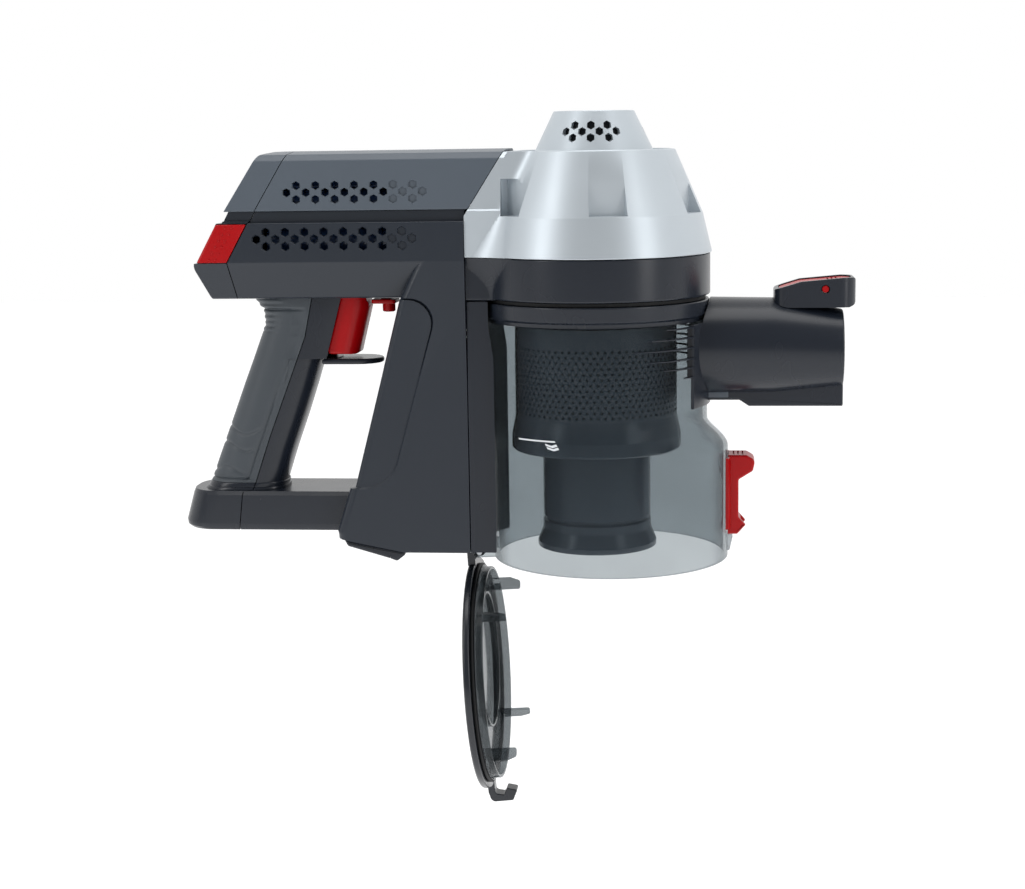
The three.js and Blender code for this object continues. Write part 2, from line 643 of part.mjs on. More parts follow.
function dustCup() {
  const lug = ([low, high]) => prism('y', [[HINGE.x - 3, -72.6], [127, -72.6], [127, CUP_BOTTOM_Z],
    [HINGE.x - 3, CUP_BOTTOM_Z - 0.6, 2]], low, high);
  const barrel = cup(0, 0)
    .add(lug([-14, -9.6]))
    .add(lug([9.6, 14]))
    .subtract(rod('y', [HINGE.x, HINGE.z], PIN_HOLE_R, -30, 30, 16))
    .subtract(cup(CUP_WALL, 1))
    .add(prism('y', [[250.5, -69], [254.6, -69], [253.4, -74.5], [250.5, -74.5]], -4.4, 4.4))
    .subtract(bore(200, 260));
  add('dust_cup', barrel, 'smoke');
  add('separator_collar', turned([[61.3, 62.3], [60.6, 54], [58.9, 53.2], [58.9, 51.3], [45.4, 51.3],
    [45.4, 53.4], [55.6, 53.4], [55.6, 62.3]]), 'shell');
  add('collar_seal', turned([[56.4, 62.6], [59.4, 62.6], [59.4, 64.2], [56.4, 64.2]]), 'seal');
  add('shroud', turned([[43.8, 49.1], [43.8, -1], [46, -12], [46, -19], [30.6, -19],
    [30.6, -17.4], [44.4, -17.4], [44.4, -12], [42.2, -1], [42.2, 49.1]],
    AXIS_X, 28), 'separator');
  add('separator_tube', turned([[29.3, -14], [29.3, -60], [32.5, -69], [32.5, -73], [30.5, -73],
    [27.4, -60], [27.4, -14]], AXIS_X, 24), 'separator');
  add('vortex_finder', turned([[41.8, 51], [41.8, 49.4], [17.6, 49.4], [16, 46], [16, 8], [14.6, 8],
    [14.6, 51]], AXIS_X, 24), 'separator');
  add('pre_filter_foam', turned([[0, 53.8], [51, 53.8], [51, 58], [0, 58]], AXIS_X, 28), 'foam');
  add('hepa_filter', turned([[0, 58.4], [53, 58.4], [53, 64], [0, 64]], AXIS_X, 28), 'filter');
  add('door_hinge_pin', rod('y', [HINGE.x, HINGE.z], PIN_R, -14, 14, 16), 'steel');
}

function mouthRing(x, z, radius, count = 28) {
  return Array.from({ length: count }, (_, i) => {
    const angle = (i / count) * 2 * Math.PI;
    return [x, radius * Math.cos(angle), z + radius * Math.sin(angle)];
  });
}

function nozzle() {
  const barrel = loft([mouthRing(228, 36.3, 26.3), mouthRing(243, 36.3, 26.3),
    mouthRing(276, 36.2, 25.8), mouthRing(MOUTH_X, MOUTH_Z, MOUTH_R)]);
  const channel = prism('y', [[228, 7.9], [258, 7.9], [263, 4.6], [MOUTH_X, 4.6], [MOUTH_X, 24],
    [228, 24]], -10, 10);
  const rings = (low, high, radius) => turned([[0, low], [radius, low], [radius, high], [0, high]]);
  const flange = rings(6, 50.6, 61.9).intersect(box([226, 250], [-31, 31], [0, 60]));
  const body = barrel.add(channel).add(flange)
    .subtract(rings(-10, 50.8, CUP_R + GAP))
    .subtract(rings(50.7, 70, MOTOR_BAND_R + 0.2))
    .subtract(bore(200, MOUTH_X + 5))
    .subtract(box([292, MOUTH_X + 5], [-6, 6], [7, 13]));
  add('inlet_nozzle', body, 'shell');

  const plan = [[276, -13, 6], [319, -13, 9], [319, 13, 9], [276, 13, 6]];
  const roomPlan = [[278.4, -10.6, 5], [316.6, -10.6, 7], [316.6, 10.6, 7], [278.4, 10.6, 5]];
  const side = [[276, 40], [276, 67, 1], [290, 71.2], [312, 73.1, 2], [319, 73.1, 1.5], [319, 59, 2],
    [313.2, 56.5], [313.2, 40]];
  const clearBarrel = loft([mouthRing(270, 36.2, 26.2), mouthRing(276, 36.2, 26.2),
    mouthRing(MOUTH_X + 0.3, MOUTH_Z, MOUTH_R + 0.4)]);
  const clearMouth = box([MOUTH_X - 1, MOUTH_X + GAP], [-30, 30], [0, 56]);
  const room = prism('z', roomPlan, 64.4, 80, 4);
  const pivot = [ROCKER_PIVOT.x, ROCKER_PIVOT.z];
  const housing = prism('z', plan, 40, 80, 4)
    .intersect(prism('y', side, -20, 20))
    .subtract(room)
    .subtract(box([270, 330], [-30, 30], [30, 57.5]))
    .subtract(clearBarrel)
    .subtract(clearMouth)
    .subtract(rod('y', pivot, ROCKER_PIVOT_R + 0.4, -20, 20, 16));
  add('nozzle_button_housing', housing, 'shell');
  const inset = [[278.9, -10.1, 5], [316.1, -10.1, 7], [316.1, 10.1, 7], [278.9, 10.1, 5]];
  const face = [[278, 67.1], [290, 70.6], [312, 72.4, 2], [318, 72.4], [318, 69.6], [278, 67]];
  const rocker = prism('z', inset, 60, 80, 4)
    .intersect(prism('y', face, -20, 20))
    .add(rod('y', pivot, ROCKER_PIVOT_R, -12.9, 12.9, 16))
    .add(box([299.6, 306], [-8, 8], [66, 71]));
  add('nozzle_button', rocker, 'red');
}

function doorLatch() {
  const side = [[250, -22.3], [262, -22.3, 2], [266.6, -25, 3], [265.4, -31, 2], [257.7, -35.8, 1],
    [257.7, -56.3, 1], [261.6, -60.7, 0.5], [257, -65.8, 0.5], [250, -65.8]];
  const wall = rod('z', [CUP_X, 0], CUP_LOW_R + 0.5, -90, 0, 60);
  const flange = rod('z', [CUP_X, 0], CUP_LOW_R + 2, -62, -23, 60)
    .intersect(box([230, 270], [-15, 15], [-70, -10]));
  const latch = prism('y', side, -8.6, 8.6).add(flange)
    .subtract(wall)
    .subtract(box([240, 270], [-5.8, 5.8], [-70, -57.6]));
  add('door_latch', latch, 'red');
}

function binDoor() {
  const [x, z] = [HINGE.x, HINGE.z];
  const level = (r, h) => [r, z + h];
  const disc = turned([level(0, -7.5), level(DOOR_R, -7.5), level(DOOR_R, -3.7), level(59, -3.7),
    level(59, -1.6), level(60.2, -1.6), level(60.2, -0.9), level(0, -0.9)], CUP_X, 40);
  const ring = (inner, outer, top) => turned([level(inner, -1.5), level(outer, -1.5), level(outer, top),
    level(inner, top)], AXIS_X, 32);
  const spigot = turned([level(57.2, -1.5), level(59, -1.5), level(59, 3), level(57.2, 3)], CUP_X, 40);
  let door = disc.add(spigot).add(ring(50.6, 52.2, -0.2)).add(ring(36.4, 38, -0.2));
  for (let i = 0; i < 4; i++) {
    const blade = [[50.8, z - 1.5], [58.8, z - 1.5], [58.8, z + 9], [55.8, z + 15], [50.8, z + 15]];
    const paddle = prism('y', blade, -0.9, 0.9).rotate([0, 0, 45 + 90 * i]);
    door = door.add(paddle.translate([PADDLE_X, 0, 0]));
  }
  const knuckle = rod('y', [x, z], 3, -9.2, 9.2, 20)
    .add(prism('y', [[x - 2.6, z - 1.2], [x - 0.5, z - 7.5], [x + 8.3, z - 7.5], [x + 8.3, z - 3.3],
      [x + 5, z - 3.3], [x + 2.4, z - 1.2]], -9.2, 9.2))
    .subtract(rod('y', [x, z], PIN_HOLE_R, -20, 20, 16));
  const hook = [[x + 134, z - 7.5], [x + 141, z - 7.2, 2], [x + 146.6, z - 5.6, 3],
    [x + 146, z + 6.6], [x + 140, z + 9.4, 1], [x + 138.6, z + 3.4, 1], [x + 142.6, z + 1.6, 1],
    [x + 141.6, z - 3.4, 2], [x + 134, z - 3.4]];
  door = door.add(knuckle).add(prism('y', hook, -4.4, 4.4));
  const seal = turned([level(59.3, -3.5), level(61.2, -3.5), level(61.2, -1.8), level(59.3, -1.8)],
    CUP_X, 40);
  const open = (piece) => piece.translate([-x, 0, -z])
    .rotate([0, DOOR_OPEN, 0])
    .translate([x, 0, z]);
  add('bin_door', open(door), 'door');
  add('door_seal', open(seal), 'seal');
}

// ---- Assembly ----------------------------------------------------------------------

bodyShells();
bodyScrews();
topCover();
dockFrame();
pillarFoot();
motorHousing();
domeCover();
exhaustCap();
motor();
batteryPack();
handle();
trigger();
binRelease();
dustCup();
nozzle();
doorLatch();
binDoor();

export default vacuum;
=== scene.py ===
"""Looks of a cordless handheld vacuum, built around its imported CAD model.

Lengths are millimetres in the model's own frame until a mesh is made: +X towards the
nozzle, +Y to the left, +Z up. Blender's meshes are in metres.
"""

import json
import math

import bmesh
import bpy
from mathutils import Matrix, Vector


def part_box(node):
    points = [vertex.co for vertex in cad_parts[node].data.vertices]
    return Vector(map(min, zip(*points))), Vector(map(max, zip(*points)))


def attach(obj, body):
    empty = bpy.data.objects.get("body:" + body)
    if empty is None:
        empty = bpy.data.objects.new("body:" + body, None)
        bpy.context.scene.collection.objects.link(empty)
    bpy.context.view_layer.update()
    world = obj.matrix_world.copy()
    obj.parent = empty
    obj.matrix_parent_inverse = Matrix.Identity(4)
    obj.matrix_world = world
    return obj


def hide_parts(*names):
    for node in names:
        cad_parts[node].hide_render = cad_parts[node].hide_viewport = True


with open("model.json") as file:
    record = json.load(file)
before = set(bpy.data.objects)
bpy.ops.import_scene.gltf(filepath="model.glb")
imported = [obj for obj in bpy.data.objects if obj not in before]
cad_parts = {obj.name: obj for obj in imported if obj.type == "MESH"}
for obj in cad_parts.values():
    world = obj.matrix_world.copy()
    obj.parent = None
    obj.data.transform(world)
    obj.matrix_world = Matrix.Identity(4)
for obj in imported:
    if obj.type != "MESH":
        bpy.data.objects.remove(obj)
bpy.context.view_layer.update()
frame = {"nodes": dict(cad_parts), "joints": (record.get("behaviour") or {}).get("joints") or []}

MM = 0.001
ACROSS = (-60, 60)            # right across the object, for cutters


def span(node, axis):
    """Lowest and highest coordinate of a CAD node along x, y or z, in millimetres."""
    low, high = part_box(node)
    index = "xyz".index(axis)
    return low[index] / MM, high[index] / MM


def joint_place(name):
    """Pivot of a hinge in millimetres."""
    joint = next(j for j in frame["joints"] if j["name"] == name)
    return [value / MM for value in joint["pos_m"]]


# ---- Driving places, read from the frame -------------------------------------------

AXIS_X = sum(span("exhaust_cap", "x")) / 2
BAND_LOW, BAND_HIGH = span("motor_housing", "z")[0] + 0.6, span("motor_housing", "z")[1]
BODY_FRONT = span("body_shell_left", "x")[1]
BLOCK_HALF = span("body_shell_left", "y")[1]
DOME_LOW, DOME_HIGH = span("dome_cover", "z")
CUP_TOP = span("dust_cup", "z")[1]
GUARD_LOW, GUARD_HIGH = span("finger_guard", "z")
MOUTH_X = span("inlet_nozzle", "x")[1]
HINGE_X, _, HINGE_Z = joint_place("bin_door_swing")
DOOR_REACH = 71.5                       # hinge to the centre of the door
DOOR_OPEN = 86.5                        # degrees from closed to the way it hangs at rest
PADDLE_X = HINGE_X + 69.0               # centre of the ring of paddles, door closed
CUP_X = HINGE_X + DOOR_REACH            # centre of the wider lower cup
CUP_LOW_R = 64.0                        # outer radius of the lower cup
CUP_R = 60.2                            # outer radius of the upper cup
CUP_WALL = 2.4
CUP_FLOOR = -78.3                       # open lower rim of the cup
TRIGGER_X, _, TRIGGER_Z = joint_place("trigger_pull")
BUTTON_X, _, BUTTON_Z = joint_place("nozzle_button_press")

# ---- Mesh helpers ------------------------------------------------------------------


def arc_outline(corners, steps=6):
    """Points of a closed outline from (u, v) or (u, v, radius) corners, rounded by true arcs."""
    points = []
    count = len(corners)
    for i, corner in enumerate(corners):
        here = Vector(corner[:2])
        radius = corner[2] if len(corner) > 2 else 0
        before = (Vector(corners[i - 1][:2]) - here).normalized()
        after = (Vector(corners[(i + 1) % count][:2]) - here).normalized()
        angle = before.angle(after)
        if radius <= 0 or angle > math.radians(177):
            points.append(here)
            continue
        reach = radius / math.tan(angle / 2)
        centre = here + (before + after).normalized() * (radius / math.sin(angle / 2))
        start = here + before * reach - centre
        end = here + after * reach - centre
        turn = start.angle_signed(end)
        pieces = max(2, round(steps * abs(turn) / (math.pi / 2)))
        for k in range(pieces + 1):
            points.append(centre + Matrix.Rotation(-turn * k / pieces, 2) @ start)
    return points


def inset(points, distance):
    """The outline moved inwards by a distance, corner by corner."""
    area = sum(a.cross(b) for a, b in zip(points, points[1:] + points[:1]))
    side = 1 if area > 0 else -1
    moved = []
    for i, here in enumerate(points):
        into = (here - points[i - 1]).normalized()
        out = (points[(i + 1) % len(points)] - here).normalized()
        normal_in = Vector((-into.y, into.x)) * side
        normal_out = Vector((-out.y, out.x)) * side
        middle = normal_in + normal_out
        moved.append(here + middle * (distance / max(0.35, 1 + normal_in.dot(normal_out))))
    return moved


def place(axis, u, v, along):
    """A point from outline coordinates and a distance along the outline's axis."""
    if axis == "x":
        return (along, u, v)
    if axis == "y":
        return (u, along, v)
    return (u, v, along)


def as_object(name, points, faces):
    """An object from points in millimetres, with its faces turned outwards."""
    mesh = bpy.data.meshes.new(name)
    mesh.from_pydata([Vector(p) * MM for p in points], [], faces)
    edit = bmesh.new()
    edit.from_mesh(mesh)
    bmesh.ops.remove_doubles(edit, verts=edit.verts, dist=1e-7)
    bmesh.ops.recalc_face_normals(edit, faces=edit.faces)
    edit.to_mesh(mesh)
    edit.free()
    made = bpy.data.objects.new(name, mesh)
    bpy.context.scene.collection.objects.link(made)
    return made


def skin(rings, closed=False):
    """A solid through rings of points, capped at both ends unless it closes on itself."""
    count = len(rings[0])
    points = [p for ring in rings for p in ring]
    faces = []
    last = len(rings) if closed else len(rings) - 1
    for k in range(last):
        for i in range(count):
            j = (i + 1) % count
            a, b = k * count, ((k + 1) % len(rings)) * count
            faces.append((a + i, a + j, b + j, b + i))
    if not closed:
        faces.append(tuple(range(count)))
        faces.append(tuple(reversed(range((len(rings) - 1) * count, len(rings) * count))))
    return as_object("part", points, faces)


def loft(axis, layers):
    """A solid through outlines, each given with its distance along the axis."""
    return skin([[place(axis, u, v, along) for u, v in outline] for along, outline in layers])


def prism(axis, corners, low, high, edge=0.0, low_edge=None, steps=6, rounds=4):
    """A bar with the given outline, whose end edges are rounded by edge millimetres."""
    points = arc_outline(corners, steps)
    low_edge = edge if low_edge is None else low_edge
    layers = []
    for radius, end, sign in ((low_edge, low, 1), (edge, high, -1)):
        turns = [k / rounds * math.pi / 2 for k in range(rounds + 1)] if radius else [math.pi / 2]
        layer = [(end + sign * radius * (1 - math.cos(t)), inset(points, radius * (1 - math.sin(t))))
                 for t in turns]
        layers += layer if sign == 1 else layer[::-1]
    return loft(axis, layers)


def lathe(profile, x=None, segments=144, steps=5):
    """A turned piece about an upright axis from (radius, z) or (radius, z, rounding) corners."""
    x = AXIS_X if x is None else x
    points = arc_outline(profile, steps)
    rings = []
    for i in range(segments):
        angle = 2 * math.pi * i / segments
        rings.append([(x + p.x * math.cos(angle), p.x * math.sin(angle), p.y) for p in points])
    return skin(rings, closed=True)


def circle(radius, centre, count):
    """Points of a circle, listed from the side of its first coordinate."""
    u, v = centre
    turns = [2 * math.pi * i / count for i in range(count)]
    return [(u + radius * math.cos(t), v + radius * math.sin(t)) for t in turns]


def rod(axis, centre, radius, low, high, edge=0.0, low_edge=None, segments=48):
    """A round bar; centre gives its other two coordinates in x, y, z order."""
    return prism(axis, circle(radius, centre, segments), low, high, edge, low_edge)


def box(x, y, z):
    return prism("z", [(x[0], y[0]), (x[1], y[0]), (x[1], y[1]), (x[0], y[1])], *z)


def bundle(*parts):
    """One object from several that don't touch."""
    first, *others = parts
    edit = bmesh.new()
    for part in parts:
        edit.from_mesh(part.data)
    edit.to_mesh(first.data)
    edit.free()
    for part in others:
        bpy.data.objects.remove(part)
    return first


def combine(base, how, tools):
    """base joined with, cut by or kept within each of the tools, which are used up."""
    for tool in tools:
        modifier = base.modifiers.new("combine", "BOOLEAN")
        modifier.operation = how
        modifier.solver = "MANIFOLD"
        modifier.object = tool
        ready = base.evaluated_get(bpy.context.evaluated_depsgraph_get())
        mesh = bpy.data.meshes.new_from_object(ready)
        base.modifiers.clear()
        base.data = mesh
        bpy.data.objects.remove(tool)
        if not mesh.polygons:
            raise RuntimeError(f"nothing is left after {how}")
    return base


def fuse(base, *tools):
    return combine(base, "UNION", tools)


def cut(base, *tools):
    return combine(base, "DIFFERENCE", tools)


def within(base, *tools):
    return combine(base, "INTERSECT", tools)


def copy_of(part):
    twin = part.copy()
    twin.data = part.data.copy()
    bpy.context.scene.collection.objects.link(twin)
    return twin


def turned(part, matrix):
    """The part after a rotation or shift given in metres."""
    part.data.transform(matrix)
    return part


def shift(part, x=0.0, y=0.0, z=0.0):
    return turned(part, Matrix.Translation(Vector((x, y, z)) * MM))


def spin(part, degrees, axis, x=0.0, z=0.0):
    """The part turned about an axis through (x, 0, z)."""
    centre = Matrix.Translation(Vector((x, 0, z)) * MM)
    return turned(part, centre @ Matrix.Rotation(math.radians(degrees), 4, axis) @ centre.inverted())


def finished(part, name, material, body, replaces=(), smooth=32):
    """Names a piece, shades it, gives it its material and lets it ride on its body."""
    part.name = part.data.name = name
    part.data.materials.clear()
    part.data.materials.append(material)
    part.data.shade_smooth()
    part.data.set_sharp_from_angle(angle=math.radians(smooth))
    weighted = part.modifiers.new("flat faces stay flat", "WEIGHTED_NORMAL")
    weighted.keep_sharp = True
    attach(part, body)
    if replaces:
        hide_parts(*([replaces] if isinstance(replaces, str) else replaces))
    return part


def both_sides(half):
    """A closed symmetric section from its +Y half, listed from the bottom up."""
    return [*half, *[(-c[0], *c[1:]) for c in reversed(half)]]


# ---- Materials ---------------------------------------------------------------------


def srgb(red, green, blue):
    """A linear colour from 0 to 255 display values."""
    def linear(value):
        value /= 255
        return value / 12.92 if value <= 0.04045 else ((value + 0.055) / 1.055) ** 2.4
    return (linear(red), linear(green), linear(blue), 1)


def node_set(name):
    """A new node material with its Principled shader and object coordinates."""
    made = bpy.data.materials.new(name)
    made.use_nodes = True
    nodes, links = made.node_tree.nodes, made.node_tree.links
    where = nodes.new("ShaderNodeTexCoord").outputs["Object"]
    return made, nodes, links, nodes["Principled BSDF"], where


def noise(nodes, links, where, scale, detail=3, stretch=(1, 1, 1)):
    """Noise with features about 1 / scale metres wide, stretched along the axes."""
    mapping = nodes.new("ShaderNodeMapping")
    mapping.inputs["Scale"].default_value = stretch
    links.new(where, mapping.inputs["Vector"])
    texture = nodes.new("ShaderNodeTexNoise")
    texture.inputs["Scale"].default_value = scale
    texture.inputs["Detail"].default_value = detail
    links.new(mapping.outputs["Vector"], texture.inputs["Vector"])
    return texture.outputs["Fac"]


def graded(nodes, links, source, low, high, start=0.2, end=0.8):
    """A number that runs from low to high as the source runs from start to end."""
    grade = nodes.new("ShaderNodeMapRange")
    for socket, value in (("From Min", start), ("From Max", end), ("To Min", low), ("To Max", high)):
        grade.inputs[socket].default_value = value
    links.new(source, grade.inputs["Value"])
    return grade.outputs["Result"]


def blended(nodes, links, source, first, second):
    """A colour between two, mixed by the source."""
    mix = nodes.new("ShaderNodeMix")
    mix.data_type = "RGBA"
    links.new(source, mix.inputs["Factor"])
    mix.inputs["A"].default_value = first
    mix.inputs["B"].default_value = second
    return mix.outputs["Result"]


def tinted(colour, share):
    """A colour made lighter or darker by a share."""
    return tuple(min(1, c * (1 + share)) for c in colour[:3]) + (1,)


def mottled(nodes, links, source, colour, share):
    """A colour that wanders a share darker and lighter with the source."""
    return blended(nodes, links, graded(nodes, links, source, 0, 1), tinted(colour, -share),
                   tinted(colour, share))


def moulded(name, colour, roughness, grain=2400, depth=0.00002, mottle=0.08,
            metallic=0.0, coat=0.0, specular=0.5, scatter=0.06):
    """Moulded or painted surface: faint mottling, uneven gloss and a fine grain."""
    made, nodes, links, shader, where = node_set(name)
    broad = noise(nodes, links, where, 42, 4)
    links.new(mottled(nodes, links, broad, colour, mottle), shader.inputs["Base Color"])
    smear = noise(nodes, links, where, 60, 2, (1, 1, 0.5))
    links.new(graded(nodes, links, smear, roughness - scatter, roughness + scatter),
              shader.inputs["Roughness"])
    bump = nodes.new("ShaderNodeBump")
    bump.inputs["Strength"].default_value = 0.2
    bump.inputs["Distance"].default_value = depth
    links.new(noise(nodes, links, where, grain, 2), bump.inputs["Height"])
    links.new(bump.outputs["Normal"], shader.inputs["Normal"])
    shader.inputs["Metallic"].default_value = metallic
    shader.inputs["Coat Weight"].default_value = coat
    shader.inputs["Coat Roughness"].default_value = 0.12
    shader.inputs["Specular IOR Level"].default_value = specular
    return made


def clear(name, tint, body, share, roughness=0.04):
    """Tinted clear plastic: it lets straight light through and mirrors more at a slant."""
    made, nodes, links, shader, where = node_set(name)
    broad = noise(nodes, links, where, 30, 3)
    links.new(mottled(nodes, links, broad, body, 0.1), shader.inputs["Base Color"])
    scuffs = noise(nodes, links, where, 400, 6, (1, 1, 0.15))
    links.new(graded(nodes, links, scuffs, roughness, roughness + 0.05), shader.inputs["Roughness"])
    through = nodes.new("ShaderNodeBsdfTransparent")
    links.new(mottled(nodes, links, broad, tint, 0.03), through.inputs["Color"])
    slant = nodes.new("ShaderNodeLayerWeight")
    slant.inputs["Blend"].default_value = 0.5
    solidity = graded(nodes, links, slant.outputs["Facing"], share, 0.6, 0.55, 1.0)
    mix = nodes.new("ShaderNodeMixShader")
    links.new(solidity, mix.inputs["Fac"])
    links.new(through.outputs["BSDF"], mix.inputs[1])
    links.new(shader.outputs["BSDF"], mix.inputs[2])
    links.new(mix.outputs["Shader"], nodes["Material Output"].inputs["Surface"])
    return made


def pleated(name, colour):
    """Filter paper: fine pleats seen from above."""
    made, nodes, links, shader, where = node_set(name)
    pleats = nodes.new("ShaderNodeTexWave")
    pleats.inputs["Scale"].default_value = 110
    links.new(where, pleats.inputs["Vector"])
    links.new(blended(nodes, links, pleats.outputs["Fac"], tinted(colour, -0.3), colour),
              shader.inputs["Base Color"])
    bump = nodes.new("ShaderNodeBump")
    bump.inputs["Distance"].default_value = 0.0008
    links.new(pleats.outputs["Fac"], bump.inputs["Height"])
    links.new(bump.outputs["Normal"], shader.inputs["Normal"])
    shader.inputs["Roughness"].default_value = 0.9
    return made


SHELL = moulded("shell_plastic", srgb(27, 32, 41), 0.27, mottle=0.02, specular=0.4, scatter=0.01)
BLOCK = moulded("block_plastic", srgb(34, 40, 49), 0.3, mottle=0.02, specular=0.4, scatter=0.01)
COVER = moulded("cover_plastic", srgb(84, 92, 101), 0.36, mottle=0.03, specular=0.4, scatter=0.02)
SILVER = moulded("silver_paint", srgb(192, 200, 206), 0.4, grain=5200, depth=0.000004,
                 mottle=0.02, metallic=0.55, coat=0.1, scatter=0.03)
RED = moulded("red_plastic", srgb(168, 0, 6), 0.32, mottle=0.04, specular=0.25)
RUBBER = moulded("grip_rubber", srgb(62, 68, 74), 0.46, grain=1500, depth=0.00005,
                 mottle=0.05, specular=0.45, scatter=0.03)
SEPARATOR = moulded("separator_plastic", srgb(84, 91, 100), 0.24, mottle=0.02, specular=0.5,
                    scatter=0.01)
# Dark matte colour for the dots that stand for the shroud screen's holes: painted shade in the holes.
HOLE_SHADE = moulded("painted_hole_shade", srgb(44, 48, 54), 0.8, specular=0.1)
SEAL = moulded("seal_rubber", srgb(16, 17, 19), 0.6, grain=1500, specular=0.3)
STEEL = moulded("bare_steel", srgb(182, 186, 190), 0.28, grain=900, metallic=1.0)
CELL = moulded("cell_wrap", srgb(34, 56, 92), 0.28, mottle=0.1, coat=0.4)
BOARD = moulded("circuit_board", srgb(30, 88, 58), 0.5, mottle=0.15)
FOAM = moulded("filter_foam", srgb(62, 66, 70), 0.95, grain=500, depth=0.0004, mottle=0.3)
FILTER = pleated("filter_paper", srgb(228, 226, 218))
MOTOR = moulded("motor_metal", srgb(140, 146, 152), 0.35, metallic=0.8)
INNER = moulded("inner_plastic", srgb(26, 28, 32), 0.6, specular=0.3)
PRINT = moulded("white_print", srgb(222, 226, 230), 0.5)
SMOKE = clear("smoked_clear", srgb(215, 219, 221), srgb(90, 96, 100), 0.06)
DOOR = clear("smoked_door", srgb(190, 194, 196), srgb(70, 75, 78), 0.25)
DOOR_DARK = moulded("door_rim", srgb(27, 31, 38), 0.25, mottle=0.05, specular=0.5)
CATCH = clear("clear_catch", srgb(226, 229, 231), srgb(150, 156, 160), 0.3)

# ---- Battery block, pillar and top cover -------------------------------------------

BEND_Z = 85.0                 # where the block's side turns in towards its bottom
BLOCK_BOTTOM = 65.0
BLOCK_TOP = 106.0
NECK_HALF = 31.5              # recessed band between block and cover
ROOF_CROWN = 1.4
COVER_LOW, COVER_TOP = span("top_cover", "z")
ROOF_EDGE = COVER_TOP - ROOF_CROWN
WALL = 2.2
SEAM = 0.25                   # half of the gap at a seam
HEX_R = 2.3
PILLAR_BOTTOM = -72.0


def block_section(inward, top):
    half = BLOCK_HALF - inward
    soft = 0 if inward else 1
    return both_sides([
        (24 - inward / 2, BLOCK_BOTTOM + inward, 2.5 * soft),
        (half, BEND_Z, 1.5 * soft),
        (half, BLOCK_TOP - inward, 0.8 * soft),
        (NECK_HALF - inward, BLOCK_TOP - inward, 0.4 * soft),
        (NECK_HALF - inward, top),
    ])


def cover_section(inward=0.0):
    soft = 0 if inward else 1
    return both_sides([
        (34 - inward, COVER_LOW - inward, 0.7 * soft),
        (30.4 - inward, 138.2, 2 * soft),
        (27 - inward, ROOF_EDGE - inward, 2.5 * soft),
        (13 - inward, COVER_TOP - inward, 12 * soft),
    ])


def behind_seam(move):
    """Everything behind the slanted seam of the battery pack."""
    seam = [(22, 146), (2.2, 112), (-13, BEND_Z), (-10.6, 64), (-9.5, 55)]
    return prism("y", [*[(x + move, z) for x, z in seam], (-70, 55), (-70, 146)], *ACROSS)


def front_line(move):
    return [(BODY_FRONT + move, 60), (BODY_FRONT + move, 108.6), (136.2 + move, 144)]


def hexagon(x, z, radius):
    turns = [math.radians(60 * k + 30) for k in range(6)]
    return [(x + radius * math.cos(t), z + radius * math.sin(t)) for t in turns]


def hex_cutter(x, z, surface, depth, lip=0.5):
    """A hexagonal hole sunk from y = surface towards the middle, with a chamfered rim."""
    side = 1 if surface > 0 else -1
    stages = [(surface + side * 2, HEX_R + lip), (surface + side * 0.01, HEX_R + lip),
              (surface - side * lip, HEX_R), (surface - side * depth, HEX_R)]
    return loft("y", [(y, hexagon(x, z, radius)) for y, radius in stages])


def vent_places(first_x, z, pitch, rise, middles, pairs):
    """Centres of a staggered band of holes: a middle row and pairs above and below it."""
    row = [(first_x + i * pitch, z) for i in middles]
    for i in pairs:
        row += [(first_x + (i + 0.5) * pitch, z + rise), (first_x + (i + 0.5) * pitch, z - rise)]
    return row


def vented(part, vent, surface_at, open_to, blind_to):
    """The part with a band of open holes on both sides, and blind ones at its front end.

    open_to and blind_to are how far each kind runs: in the middle row, and in the pairs.
    """
    for start, end, depth in (((0, 0), open_to, 6), (open_to, blind_to, 1.1)):
        middles, pairs = [range(*limits) for limits in zip(start, end)]
        part = cut(part, bundle(*[hex_cutter(x, z, side * surface_at(z), depth) for side in (-1, 1)
                                  for x, z in vent_places(middles=middles, pairs=pairs, **vent)]))
    return part


def block_side(z):
    return BLOCK_HALF


def cover_side(z):
    """Half-width of the leaning side of the cover at a height."""
    return 34 - (z - COVER_LOW) * (34 - 30.4) / (138.2 - COVER_LOW)


PILLAR_LEVELS = [(PILLAR_BOTTOM, 42.4, 33), (-62.6, 41.6, 33), (-60.7, 41.2, 33), (-37.2, 48.7, 33),
                 (-36.6, 51.5, 33), (20, 66.5, 33), (64, 78.2, 34.8), (BEND_Z, 88, 36), (96, 94, 36)]


def pillar_loft(inward, rear_inward=None, rounding=5.0):
    """The pillar as a stack of sections: height, rear edge and half-width."""
    layers = []
    for z, rear, half in PILLAR_LEVELS:
        lift = inward if z == PILLAR_BOTTOM else 0
        rear, half = rear + (inward if rear_inward is None else rear_inward), half - inward
        edge = max(1.0, rounding - inward)
        layers.append((z + lift, arc_outline([(rear, -half, edge), (BODY_FRONT + 8, -half),
                                              (BODY_FRONT + 8, half), (rear, half, edge)])))
    return loft("z", layers)


def pillar_panel(grow=0.0):
    """Outline of the sunken panel on the pillar's sides and rear."""
    low, high = -36.5 - grow, 64.7 + grow
    lean = 0.2816
    front_low = 71.1 + grow * (1 - lean)
    return [(20, low), (front_low, low, 19), (front_low + (high - low) * lean, high, 12.5), (20, high)]


PANEL_DEPTH = 0.9


